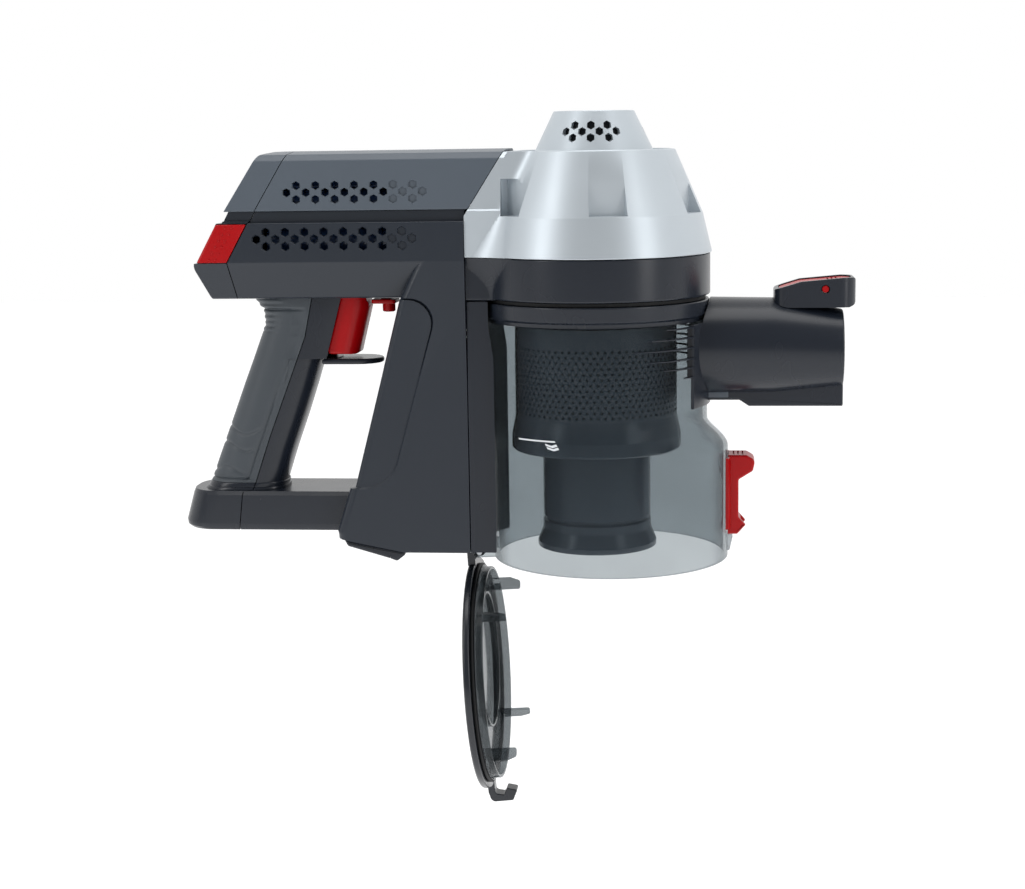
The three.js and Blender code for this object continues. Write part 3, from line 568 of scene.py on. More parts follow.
def sunken_pillar():
    """The pillar with the panel area sunk below the rest, behind a sloping edge."""
    whole = pillar_loft(0)
    outer_at = BLOCK_HALF + 4
    for side in (-1, 1):
        stages = [(side * outer_at, 1.0), (side * 33.2, 1.0), (side * (33 - PANEL_DEPTH), 0.0), (0, 0.0)]
        whole = cut(whole, loft("y", [(y, arc_outline(pillar_panel(grow))) for y, grow in stages]))
    panel = within(pillar_loft(PANEL_DEPTH, 0.02), prism("y", pillar_panel(0.02), *ACROSS))
    slanted = [(38, -63.9), (42.6, -64.9), (78.4, PILLAR_BOTTOM - 0.05), (78.4, -90), (38, -90)]
    return cut(fuse(whole, panel), prism("y", slanted, *ACROSS))


SCREW_PLACES = [(103, 40), (88, -58), (100, 76)]
LOWER_VENT = dict(first_x=3.3, z=97.4, pitch=10.41, rise=3.75)
UPPER_VENT = dict(first_x=19.7, z=121.7, pitch=10.36, rise=3.65)


def body_shells():
    """Block and pillar in one, hollowed, with vents, seams and screw holes, then halved."""
    whole = fuse(prism("x", block_section(0, 111.7), -20, BODY_FRONT + 8), sunken_pillar())
    hollow = fuse(prism("x", block_section(WALL, 120), -30, BODY_FRONT + 12),
                  pillar_loft(PANEL_DEPTH + WALL))
    whole = cut(whole, hollow)
    whole = cut(whole, behind_seam(SEAM), box((BODY_FRONT, 200), ACROSS, (-100, 150)),
                box((36, 60), (-13.6, 13.6), (60, 68)), box((61.5, 70.5), (-4.5, 4.5), (60, 68)))
    whole = vented(whole, LOWER_VENT, block_side, (7, 7), (9, 8))
    whole = cut(whole, *[rod("y", (x, z), 3.7, 20, 40) for x, z in SCREW_PLACES])
    right = within(copy_of(whole), box((-80, 200), (-60, -0.1), (-100, 150)))
    left = within(whole, box((-80, 200), (0.1, 60), (-100, 150)))
    finished(right, "right_shell", BLOCK, "root", "body_shell_right")
    finished(left, "left_shell", BLOCK, "root", "body_shell_left")


def screws():
    for i, (x, z) in enumerate(SCREW_PLACES, 1):
        head = rod("y", (x, z), 3.2, 30.9, 33.0, edge=0.6, low_edge=0, segments=30)
        slots = [box((x - 2, x + 2), (32, 34), (z - 0.4, z + 0.4)),
                 box((x - 0.4, x + 0.4), (32, 34), (z - 2, z + 2))]
        head = cut(head, fuse(*slots))
        finished(head, f"screw_head_{i}", STEEL, "root", f"body_screw_{i}")


def top_cover():
    hollow = both_sides([(34 - WALL, 105), (34 - WALL, COVER_LOW), (30.4 - WALL, 137.6),
                         (26.4, ROOF_EDGE - WALL)])
    cover = cut(prism("x", cover_section(), -10, 140), prism("x", hollow, -20, 145))
    region = prism("y", [(-20, 100), (BODY_FRONT - SEAM, 100), *front_line(-SEAM)[1:], (-20, 144)],
                   -50, 50)
    cover = within(cover, region)
    cover = cut(cover, behind_seam(SEAM))
    cover = vented(cover, UPPER_VENT, cover_side, (6, 5), (8, 7))
    finished(cover, "cover", COVER, "root", "top_cover")


def dock_frame():
    """Dark frame in front of the pillar, hollowed to the cup's round."""
    reach = 61.7
    corner = math.atan2(33, -math.sqrt(reach ** 2 - 33 ** 2))
    arc = [(AXIS_X + reach * math.cos(t), reach * math.sin(t))
           for t in [corner + (2 * math.pi - 2 * corner) * k / 48 for k in range(49)]]
    plan = [(BODY_FRONT + SEAM, 33, 0.8), *arc, (BODY_FRONT + SEAM, -33, 0.8)]
    part = prism("z", plan, PILLAR_BOTTOM + SEAM, 63.5, edge=0.5)
    room = lathe([(0, 33), (61.7, 33), (63.9, 50), (63.9, 70), (0, 70)])
    finished(cut(part, room), "dock", SHELL, "root", "dock_frame")


def pillar_foot():
    side = [(44.2, -65.5), (46.4, -69.6, 1.5), (69.2, -76.2), (73.3, -77.7, 1.5), (77.8, -74.2, 1.5),
            (77.8, PILLAR_BOTTOM - SEAM)]
    foot = prism("y", side, -29.5, 29.5, edge=1.4)
    seam = prism("y", [(69.4, -74), (69.8, -74), (69.8, -80), (69.4, -80)], -40, 40)
    step = [(40, -66.3), (78.5, -73.6), (78.5, -74.1), (40, -66.8)]
    rim = cut(prism("y", step, -40, 40), box((0, 100), (-29.1, 29.1), (-90, -60)))
    finished(cut(foot, seam, rim), "foot", SHELL, "root", "pillar_foot")


# ---- Motor housing, dome and exhaust cap -------------------------------------------

BAND_R = 61.8


def blend_ring(z, radius, half, front, hollow):
    """Section where the round part runs smoothly, over a hollow curve, into the saddle's sides."""
    centre_y = half + hollow
    centre_x = AXIS_X - math.sqrt((radius + hollow) ** 2 - centre_y ** 2)
    share = radius / (radius + hollow)
    touch_x, touch_y = AXIS_X + (centre_x - AXIS_X) * share, centre_y * share
    side = []
    for k in range(25):
        x = front + (touch_x - front) * k / 24
        y = half if x <= centre_x else centre_y - math.sqrt(max(0, hollow ** 2 - (x - centre_x) ** 2))
        side.append((x, y, z))
    side.append((AXIS_X, touch_y, z))
    return side + [(x, -y, z) for x, y, z in reversed(side)]


SHOULDER_R, SHOULDER_Z = 57.9, 107.6
DOME_RIM_R, DOME_TOP_R = 62.8, 43.2
RIM_WIDTH = 2.4               # flat silver rim along the body
HOLLOW_LOW, HOLLOW_HIGH = 34.0, 12.0    # radius of the hollow curve at the rim and from the shoulder up
FRONT_AZIMUTH = -90 + 10.7    # first scoop, on the right side
SCOOPS = 6


def motor_housing():
    """Dark band under the dome: a ring that flows into a straight saddle at the body."""
    low, high = BAND_LOW, BAND_HIGH
    ring = lathe([(BAND_R, low, 1.0), (BAND_R, high, 0.6), (59.6, high), (59.6, low + 2),
                  (56, low + 2), (56, low)])
    saddle = prism("x", both_sides([(33, 64, 1.2), (33, high)]), BODY_FRONT + SEAM, 150)
    core = lathe([(0, low - 5), (59.6, low - 5), (59.6, high + 5), (0, high + 5)])
    rings = []
    for k in range(13):
        t = k / 12
        rings.append(blend_ring(low + (high - low) * t, BAND_R - 0.02, 32.9, BODY_FRONT + SEAM + 0.1,
                                4 + 50 * t ** 2))
    saddle = fuse(saddle, skin(rings))
    saddle = cut(saddle, box((100, 160), (-30.6, 30.6), (64 + WALL, high + 5)), core)
    finished(fuse(ring, saddle), "motor_band", SHELL, "root", "motor_housing")


def scoop(angle):
    """Cutter for one scoop: an upright floor, leaning side walls and a flat bottom."""
    low, high = SHOULDER_Z + 0.8, 127.5
    floor, half, flare = 50.2, 9.2, 1.5
    layers = []
    for x, widen in ((floor, 0.0), (floor + 14, flare)):
        left, right, bottom = -half - widen, half + widen, low - widen * 0.2
        layers.append((x, arc_outline([(left, bottom), (right, bottom), (right, high), (left, high)])))
    return shift(spin(loft("x", layers), angle, "Z"), x=AXIS_X)


def dome():
    """Silver dome: a turned shape and a saddle towards the body, joined by a hollow curve."""
    low, high = DOME_LOW, DOME_HIGH
    outer = lathe([(0, low), (DOME_RIM_R, low, 0.5), (SHOULDER_R, SHOULDER_Z, 3), (DOME_TOP_R, high, 0.9),
                   (0, high)], segments=192)
    line = front_line(SEAM)
    side = [(line[0][0], low), line[1], (134.6 + SEAM, ROOF_EDGE), (152, ROOF_EDGE), (152, low)]
    end = both_sides([(35, low, 0.5), (35, COVER_LOW - 1, 0.8), (34, COVER_LOW, 0.5), (30.4, 138.2, 2),
                      (27, ROOF_EDGE, 1.6)])
    above = lathe([(0, high - 0.3), (43.6, high - 0.3), (43.6, 150), (0, 150)])
    saddle = cut(within(prism("x", end, 100, 160), prism("y", side, -40, 40)), above)
    rings = []
    for k in range(33):
        z = low + (high - low) * k / 32
        radius = DOME_RIM_R - (DOME_RIM_R - SHOULDER_R) * (z - low) / (SHOULDER_Z - low)
        if z > SHOULDER_Z:
            radius = SHOULDER_R - (SHOULDER_R - DOME_TOP_R) * (z - SHOULDER_Z) / (high - SHOULDER_Z)
        half = min(34.6, 34 - (z - COVER_LOW) * 0.137)
        hollow = HOLLOW_LOW + (HOLLOW_HIGH - HOLLOW_LOW) * min(1, (z - low) / (SHOULDER_Z - low))
        rings.append(blend_ring(z, radius - 0.02, half, BODY_FRONT + SEAM + RIM_WIDTH, hollow))
    inner_side = [(x + RIM_WIDTH, z) for x, z in side[:3]] + [(180, ROOF_EDGE), (180, low)]
    saddle = fuse(saddle, within(skin(rings), prism("y", inner_side, *ACROSS)))
    part = fuse(outer, saddle)
    hollow_end = both_sides([(32.4, low - 5), (32.4, COVER_LOW), (27.6, 137), (25, ROOF_EDGE - WALL)])
    room = lathe([(0, low - 1), (60, low - 1), (55.4, SHOULDER_Z - 1.5), (47, SHOULDER_Z - 1.5),
                  (47, 124), (41, high - 2), (41, high + 2), (0, high + 2)])
    tunnel_end = both_sides([(22, low - 5), (22, ROOF_EDGE - WALL)])
    part = cut(part, prism("x", hollow_end, 90, 124), prism("x", tunnel_end, 120, 145), room)
    angles = [FRONT_AZIMUTH + 360 / SCOOPS * k for k in range(SCOOPS)]
    beyond_saddle = (BODY_FRONT + 19.5, 300)
    part = cut(part, *[within(scoop(a), box(beyond_saddle, (-80, 80), (80, 160)))
                       for a in angles if math.cos(math.radians(a)) > -0.8])
    finished(part, "dome", SILVER, "root", "dome_cover", smooth=26)


def exhaust_cap():
    """Twist-off cap with three groups of hexagonal holes, and a dark liner inside it."""
    low = DOME_HIGH + SEAM
    top = span("exhaust_cap", "z")[1]
    cap = lathe([(DOME_TOP_R, low, 0.8), (41.2, 139.9, 1.0), (31.6, 141.2, 0.6), (21.4, top, 0.8),
                 (0, top), (0, top - 2.2), (19.8, top - 2.2), (28.9, 139.2), (38, 138.4), (38, 131),
                 (40.4, 131), (40.4, low)], segments=192)
    cutters = []
    for group in range(3):
        for i in range(4):
            for row in ([-1, 0, 1] if i < 3 else [0]):
                across = i if row == 0 else i + 0.5
                angle = group * 120 - 90 + math.degrees((across - 1.5) * 0.345)
                z = 151.2 + row * 3.2
                surface = 31.6 - (z - 141.2) * (31.6 - 21.4) / (top - 141.2)
                hole = spin(hex_cutter(0, z, surface, 8, lip=0.08), -90, "Z")
                cutters.append(shift(spin(hole, angle, "Z"), x=AXIS_X))
    cap = cut(cap, bundle(*cutters))
    finished(cap, "cap", SILVER, "exhaust_cap", "exhaust_cap", smooth=26)
    liner = lathe([(28.3, 140), (19.6, top - 2.6), (18.6, top - 2.6), (27.3, 140)])
    finished(liner, "cap_liner", INNER, "exhaust_cap")


# ---- Battery pack ------------------------------------------------------------------

BUTTON = [(-18.4, 105.4), (-1.9, 105.4), (-13.3, 85.2), (-29.6, 85.2)]


def battery_cap():
    """Rear end of the body, on the pack: the cover's colour above, the block's below."""
    rear = prism("y", [(30, 62), (30, COVER_TOP + 1), (14, COVER_TOP + 1), (4, ROOF_EDGE + 0.1, 6),
                       (-31.9, 83.4, 6), (-24.8, BLOCK_BOTTOM, 5), (-20, 62)], *ACROSS)
    hollow = prism("y", [(30, 67.4), (30, 139), (7, 139), (-28.4, 83.2), (-22, 67.4)], -50, 50)
    upper = cut(prism("x", cover_section(), -40, 25), box((-50, 60), (-50, 50), (100, COVER_LOW - 0.01)))
    inside = fuse(prism("x", block_section(WALL, 114), -40, 30),
                  prism("x", both_sides([(29, 108), (29, 118), (27.4, 137.6), (24, 139.2)]), -40, 30))
    inside = within(inside, hollow)
    whole = cut(fuse(prism("x", block_section(0, 113), -40, 25), upper), inside)
    floor = [(-30, 84.2), (-16.6, 107), (0.2, 107), (-12.8, 84.2)]
    whole = fuse(whole, prism("y", floor, -34, -28.6), prism("y", floor, 28.6, 34))
    pocket = [(-34, 84.9), (-18, 105.8), (8, 105.8), (-10, 84.9)]
    whole = cut(whole, prism("y", pocket, -60, -30.2), prism("y", pocket, 30.2, 60))
    # the recessed band runs round the rear too
    neck_rear = [(-12.2, COVER_LOW), (-15.4, BLOCK_TOP), (-40, BLOCK_TOP), (-40, COVER_LOW)]
    whole = cut(whole, prism("y", neck_rear, *ACROSS))
    whole = within(whole, rear, behind_seam(-SEAM))
    whole = cut(whole, rod("x", (0, 74.5), 4.4, -40, -15))
    split = box(ACROSS, ACROSS, (COVER_LOW - 0.05, 160))
    lower = cut(copy_of(whole), copy_of(split))
    upper = within(whole, split)
    finished(upper, "pack_cap_upper", COVER, "battery_pack", "battery_end_cap")
    finished(lower, "pack_cap_lower", BLOCK, "battery_pack")


def battery_buttons():
    """Red side buttons: a bevel towards the rear and two rows of raised dots."""
    for side, name in ((1, "left"), (-1, "right")):
        low, high = (33, 36) if side == 1 else (-36, -33)
        edges = {"edge": 0.5, "low_edge": 0.2} if side == 1 else {"edge": 0.2, "low_edge": 0.5}
        part = prism("y", [(x, z, 0.5) for x, z in BUTTON], low, high, **edges)
        slope = [(-34, 84), (-27.6, 84), (-15.8, 107), (-23, 107)]
        part = cut(part, loft("y", [(side * 36.4, slope), (side * 35.2, [(x - 3.2, z) for x, z in slope])]))
        dots = []
        for row in range(6):
            for column in range(2):
                along = row / 5
                x = -22.7 + 9.6 * along + column * 3.4
                z = 86.9 + 16.6 * along
                dots.append(rod("y", (x, z), 0.6, *((35.5, 36.4) if side == 1 else (-36.4, -35.5)),
                                edge=0.25, segments=16))
        part = fuse(part, bundle(*dots))
        finished(part, f"{name}_pack_button", RED, f"battery_button_{name}", f"battery_button_{name}")


def cells():
    """Wrapped cells with a crimped neck and a cap at the front."""
    for i in range(1, 7):
        node = f"battery_cell_{i}"
        x_low, x_high = span(node, "x")
        y, z = sum(span(node, "y")) / 2, sum(span(node, "z")) / 2
        radius = (span(node, "y")[1] - span(node, "y")[0]) / 2
        stages = [(x_low, radius - 0.6), (x_low + 0.5, radius), (x_high - 3, radius),
                  (x_high - 2.4, radius - 0.7), (x_high - 1.8, radius - 0.1), (x_high - 0.4, radius - 0.3),
                  (x_high, radius - 1)]
        cell = loft("x", [(x, circle(r, (y, z), 48)) for x, r in stages])
        finished(cell, f"cell_{i}", CELL, "battery_pack", node)
    # Over the cells lies a sheet in their blue wrap that only darkens the upper vents: painted shade in
    # place of the space above the cells.
    top = max(span("battery_cell_6", "z")[1], span("battery_cell_3", "z")[1])
    cover = prism("x", both_sides([(26, top + 0.4, 1), (24, top + 7.5, 2)]), 6, 73, edge=0.8)
    finished(cover, "vent_painted_shade_lid", CELL, "battery_pack")


# ---- Handle ------------------------------------------------------------------------

GRIP_LEVELS = [(64.7, -6.4, 38.6), (57, -1.2, 37), (50, -0.6, 35.5), (31, -8, 31.2),
               (17, -13.6, 26.8), (0, -20.1, 21), (-20, -27.9, 13.6), (-43, -36.8, 6)]
GRIP_HALF = 17.0
OBLONG = 2.6                  # 2 would make the grip's rings ellipses
BASE_LOW, BASE_HIGH = -62.5, -41.0
GRIP_SEAM = [(28.5, 66), (23.8, 43.6), (2.4, -11.4), (-7.8, -40.6), (-12.8, -41.4), (-15.7, -66)]
CHEEK_LOW, CHEEK_HIGH = (34.8, 31.4), (43.8, 64.7)    # front edge of the sides beside the trigger
CHEEK_SHARE = 0.589           # where that edge cuts the sides' longer curve


def between(table, key, column):
    """A value read between the rows of a table sorted by falling first column."""
    for upper, lower in zip(table, table[1:]):
        if upper[0] >= key >= lower[0]:
            share = (key - lower[0]) / (upper[0] - lower[0])
            return lower[column] + share * (upper[column] - lower[column])
    return table[0][column] if key > table[0][0] else table[-1][column]


def seam_x(z):
    return between([(b, a) for a, b in GRIP_SEAM], z, 1)


def groove(distance, width, depth):
    """Depth of a soft groove at a distance from its middle."""
    return -depth * math.exp(-((distance / width) ** 2))


def rubber_relief(x, y, z):
    """How far the rubber stands out or in at a point of the grip."""
    behind = seam_x(z) - x
    relief = 0.0
    if -35 < z < 58.5 and behind > 0:
        relief += groove(behind - 4.8, 0.7, 1.0) + groove(behind - 2.2, 0.5, 0.6)
    if behind > 4.2:
        relief += groove(z - 58.5, 0.7, 0.9) + groove(z + 35, 0.7, 0.9)
    if z > 46 and behind > 14:
        strength = min(1, (behind - 14) / 6)
        relief += 0.55 * strength * (0.5 - 0.5 * math.cos((z - 46) * 2 * math.pi / 3.1)) - 0.3 * strength
    if behind > 8:
        wave = 2.2 * math.sin((x + 30) * 0.25)
        for height in (-8, -17, -30):
            relief += groove(z - height - wave, 0.8, 0.7)
    return relief


def cheek_front(z):
    """Front edge of the grip's sides at a height above the finger guard."""
    share = (z - CHEEK_LOW[1]) / (CHEEK_HIGH[1] - CHEEK_LOW[1])
    return CHEEK_LOW[0] + share * (CHEEK_HIGH[0] - CHEEK_LOW[0])


def oblong(count):
    """Points (u, v) of a rounded oblong that just fits in a square from -1 to 1."""
    points = []
    for i in range(count):
        angle = 2 * math.pi * i / count
        points.append([math.copysign(abs(part) ** (2 / OBLONG), part)
                       for part in (math.cos(angle), math.sin(angle))])
    return points


def grip(inward=0.0, relief=False, reach=0.0):
    """The grip as a stack of rounded oblong rings, cut off in front beside the trigger."""
    low, high = GRIP_LEVELS[-1][0] - reach, GRIP_LEVELS[0][0] + reach
    count, step = (160, 0.5) if relief else (72, 4.0)
    levels = round((high - low) / step)
    heights = [low + (high - low) * k / levels for k in range(levels + 1)]
    rings = []
    for z in sorted([*heights, CHEEK_LOW[1] - 0.02, CHEEK_LOW[1] + 0.02]):
        rear = between(GRIP_LEVELS, z, 1) + inward
        front = between(GRIP_LEVELS, z, 2) - inward
        middle, long, wide = (rear + front) / 2, (front - rear) / 2, GRIP_HALF - inward
        ring = []
        for u, v in oblong(count):
            ahead = z > CHEEK_LOW[1] and u > 0
            run = (cheek_front(z) - middle) / CHEEK_SHARE if ahead else long
            x, y = middle + run * u, wide * v
            if relief:
                outward = Vector((u / long, v / wide)).normalized()
                push = rubber_relief(x, y, z)
                x, y = x + outward.x * push, y + outward.y * push
            ring.append((x, y, z))
        rings.append(ring)
    (x_low, z_low), (x_high, z_high) = CHEEK_LOW, CHEEK_HIGH
    ahead = [(x_low, z_low), (x_high, z_high), (x_high, z_high + 5), (90, z_high + 5), (90, z_low)]
    return cut(skin(rings), prism("y", ahead, *ACROSS))


def base_bar(inward=0.0):
    """The bar under the grip: plan outlines stacked up its slanted rear."""
    low, high = BASE_LOW + inward, BASE_HIGH - inward
    side = [(high, -43.3, 2.0), (high - 2, -44.2, 0.0), (low + 4, -48.6, 0.0), (low + 1.5, -48.3, 0.6),
            (low, -46.4, 1.8)]
    layers = []
    for z, rear, shrink in side:
        half = 22.0 - inward - shrink
        front = 46.9 - (BASE_HIGH - z) * 0.316 - inward
        corner = 18 - inward - shrink
        layers.append((z, arc_outline([(rear + inward, -half, corner), (front, -half), (front, half),
                                       (rear + inward, half, corner)], steps=12)))
    return loft("z", layers)


def behind_grip(move):
    return prism("y", [*[(x + move, z) for x, z in GRIP_SEAM], (-70, -66), (-70, 66)], *ACROSS)


def grip_flange():
    """Stepped collar where the grip stands on the bar."""
    layers = []
    for z, grow in ((-43, 1.6), (-40.4, 1.6), (-39.6, 1.2), (-39.4, 0.5), (-37.6, 0.4), (-37, 0.0)):
        rear, front = between(GRIP_LEVELS, z, 1) - grow, between(GRIP_LEVELS, z, 2) + grow + 0.6
        middle, long, wide = (rear + front) / 2, (front - rear) / 2, GRIP_HALF + grow
        layers.append((z, [(middle + long * u, wide * v) for u, v in oblong(72)]))
    return loft("z", layers)


def handle():
    """Front and rear grip shells on the bar, and the rubber around the rear one."""
    pocket = box((27.8, 70), (-13.4, 13.4), (GUARD_HIGH + 0.4, 70))
    outside = fuse(grip(), base_bar(), grip_flange())
    front = cut(copy_of(outside), fuse(grip(WALL, reach=1), base_bar(WALL)), behind_grip(SEAM), pocket)
    finished(front, "front_handle_shell", SHELL, "root", "handle_front_shell")
    room = cut(grip(-3, reach=1), grip(WALL, reach=1), box((-80, 80), ACROSS, (-80, -37)))
    rear = within(outside, behind_grip(-SEAM))
    rear = cut(rear, room, fuse(grip(WALL * 2, reach=1), base_bar(WALL)))
    finished(rear, "rear_handle_shell", SHELL, "root", "handle_rear_shell")
    rubber = cut(grip(relief=True), grip(1.9, reach=1))
    rubber = within(rubber, behind_grip(-SEAM))
    rubber = cut(rubber, box((-80, 80), ACROSS, (-80, -36.8)))
    finished(rubber, "grip_rubber", RUBBER, "root", "grip_overmold", smooth=50)


def finger_guard():
    tip = [(51 + 13 * math.cos(math.radians(a)), 13 * math.sin(math.radians(a)))
           for a in range(-90, 91, 6)]
    guard = prism("z", [(31.9, -13), *tip, (31.9, 13)], GUARD_LOW, GUARD_HIGH, edge=1.2)
    finished(guard, "guard", SHELL, "root", "finger_guard")


def trigger():
    side = [(44.6, 76.4, 3), (55.4, 76.4, 3), (55, 68, 2), (57.9, 59, 3), (51.5, 33.4, 2),
            (34.3, 33.6, 2), (42.4, 63.7, 2)]
    lever = prism("y", side, -12.6, 12.6, edge=1.6)
    layers = []
    for z, front in ((30, 50.65), (33.4, 51.5), (59, 57.9), (62, 57.9), (80, 57.9)):
        plan = [(20, -12.6), (front, -12.6, 9), (front, 12.6, 9), (20, 12.6)]
        layers.append((z, arc_outline(plan, steps=10)))
    lever = cut(within(lever, loft("z", layers)), rod("y", (TRIGGER_X, TRIGGER_Z), 1.8, -20, 20))
    finished(lever, "trigger_lever", RED, "trigger", "trigger")


def bin_release():
    plate = prism("z", [(58.9, -8, 2), (72.4, -8, 2), (72.4, 8, 2), (58.9, 8, 2)], 60.5, 62.9, edge=0.7)
    knob = rod("z", (67.5, 0), 3.5, 55.7, 61, edge=0.9)
    button = fuse(plate, knob, box((63.5, 68.5), (-2.5, 2.5), (62, 74)))
    finished(button, "release_button", RED, "bin_release", "bin_release_button")


# ---- Cyclone cup -------------------------------------------------------------------

STEP_TOP, STEP_BOTTOM = -3.0, -16.0


def cup_surface(z):
    """Centre and outer radius of the cup at a height: a soft S step widens it downwards."""
    t = min(1, max(0, (STEP_TOP + 1 - z) / (STEP_TOP - STEP_BOTTOM + 3)))
    share = t * t * (3 - 2 * t)
    return AXIS_X + (CUP_X - AXIS_X) * share, CUP_R + (CUP_LOW_R - CUP_R) * share


def cup_loft(inward, reach=0.0):
    """The cup's wall as a stack of rings."""
    heights = [CUP_TOP + reach, 20.0, 0.0, *[STEP_TOP + 1 - k for k in range(18)], CUP_FLOOR + 12,
               CUP_FLOOR - reach]
    layers = []
    for z in heights:
        x, radius = cup_surface(z)
        layers.append((z, circle(radius - inward, (x, 0), 160)))
    return loft("z", layers)


def bore(low, high):
    return rod("x", (0, 34.5), 17.5, low, high, segments=96)


def cup():
    """Clear cup with two hinge lugs, and the catch that the door's claw closes around."""
    lug = [(HINGE_X - 3, -72.6, 1), (127, -72.6), (127, CUP_FLOOR), (HINGE_X - 3, CUP_FLOOR - 0.6, 2)]
    barrel = fuse(cup_loft(0), prism("y", lug, -14, -9.6, edge=0.5), prism("y", lug, 9.6, 14, edge=0.5))
    barrel = cut(barrel, rod("y", (HINGE_X, HINGE_Z), 1.8, -30, 30), cup_loft(CUP_WALL, 1),
                 bore(200, 260))
    finished(barrel, "cup", SMOKE, "dust_cup", "dust_cup", smooth=40)
    wedge = [(250.9, -66.4), (254.8, -67.2, 0.8), (252.9, -75.6, 0.8), (250.9, -75.6)]
    wedge = cut(prism("y", wedge, -5, 5, edge=0.5), rod("z", (CUP_X, 0), CUP_LOW_R + 0.02, -90, 0,
                                                          segments=160))
    finished(wedge, "catch", CATCH, "dust_cup")


def fill_line():
    """Plain fill line and a small double chevron on the right side of the cup."""
    def strip(start, end, low, high, dip=0.0):
        """Thin printed strip between two bearings; its middle dips towards the floor."""
        rings = []
        for k in range(13):
            angle = math.radians(start + (end - start) * k / 12)
            drop = dip * (1 - abs(k / 6 - 1))
            ring = []
            for out, z in ((0.05, low), (0.16, low), (0.16, high), (0.05, high)):
                x, radius = cup_surface(z - drop)
                radius += out
                ring.append((x + radius * math.cos(angle), radius * math.sin(angle), z - drop))
            rings.append(ring)
        return skin(rings)
    mark = bundle(strip(-130.3, -108.8, -7.6, -6.8), strip(-114.9, -108.8, -9.5, -8.4, 0.9),
                  strip(-114.9, -108.8, -11.1, -10.0, 0.9))
    finished(mark, "fill_line", PRINT, "dust_cup")


def separator():
    """Collar, flared shroud with its dotted screen, and the tube below it; the screen's holes are dark dots
    of painted shade.
    """
    collar = lathe([(61.3, 62.3, 0.8), (60.8, 54.6, 0.6), (59.2, 53.4, 0.4), (58.9, 51.3, 0.3),
                    (45.4, 51.3), (45.4, 53.4), (55.6, 53.4), (55.6, 62.3)])
    finished(collar, "collar", SHELL, "dust_cup", "separator_collar")
    shroud = lathe([(43.8, 49.1), (43.8, 0, 7), (46, -11, 6), (46, -19, 2), (30.6, -19),
                    (30.6, -17.4), (44.4, -17.4), (44.4, -12), (42.2, -1), (42.2, 49.1)])
    finished(shroud, "shroud_wall", SEPARATOR, "dust_cup", "shroud")
    stem = lathe([(29.3, -14), (29.3, -55.6, 0.4), (28.2, -56.4, 0.3), (28.2, -57.6, 0.3),
                  (29.6, -58.4, 0.4), (29.6, -63, 4), (32.5, -70, 1.2), (32.5, -73, 0.7),
                  (30.5, -73), (27.4, -60), (27.4, -14)])
    finished(stem, "tube", SEPARATOR, "dust_cup", "separator_tube")
    # The screen's holes are not cut: thin dark hexagons lie on the shroud as painted shade.
    rows, columns, pitch, lowest, hole = 13, 72, 2.9, 2.5, 0.95
    points, faces = [], []
    for row in range(rows):
        for i in range(columns):
            angle = 2 * math.pi * (i + 0.5 * (row % 2)) / columns
            start = len(points)
            points += [(AXIS_X + radius * math.cos(angle + across / radius),
                        radius * math.sin(angle + across / radius), lowest + row * pitch + up)
                       for radius in (43.75, 43.9) for across, up in hexagon(0, 0, hole)]
            inner = [start + k for k in range(6)]
            outer = [start + 6 + k for k in range(6)]
            faces += [tuple(inner), tuple(reversed(outer))]
            faces += [(inner[k - 1], inner[k], outer[k], outer[k - 1]) for k in range(6)]
    finished(as_object("dots", points, faces), "shroud_screen_painted_holes", HOLE_SHADE, "dust_cup")


def tube(*stages):
    """A round bar along x from (x, z, radius) stages."""
    return loft("x", [(x, circle(radius, (0, z), 120)) for x, z, radius in stages])


def rib(z, start, end, side):
    """A thin rib around the cup that tapers to a point away from the nozzle."""
    rings = []
    for k in range(17):
        t = k / 16
        angle = math.radians(start + (end - start) * t) * side
        height = 1.7 * min(1, t * 3) + 0.05
        half = 0.32 + 0.4 * t
        rings.append([(AXIS_X + r * math.cos(angle), r * math.sin(angle), h)
                      for r, h in ((CUP_R + 0.1, z - half), (CUP_R + 0.1 + height, z - half * 0.6),
                                   (CUP_R + 0.1 + height, z + half * 0.6), (CUP_R + 0.1, z + half))])
    return skin(rings)


RIBS = [(49.2, 48.8), (44.0, 59.9), (38.6, 67.8), (32.9, 59.9), (28.1, 50.7), (23.1, 36.9)]


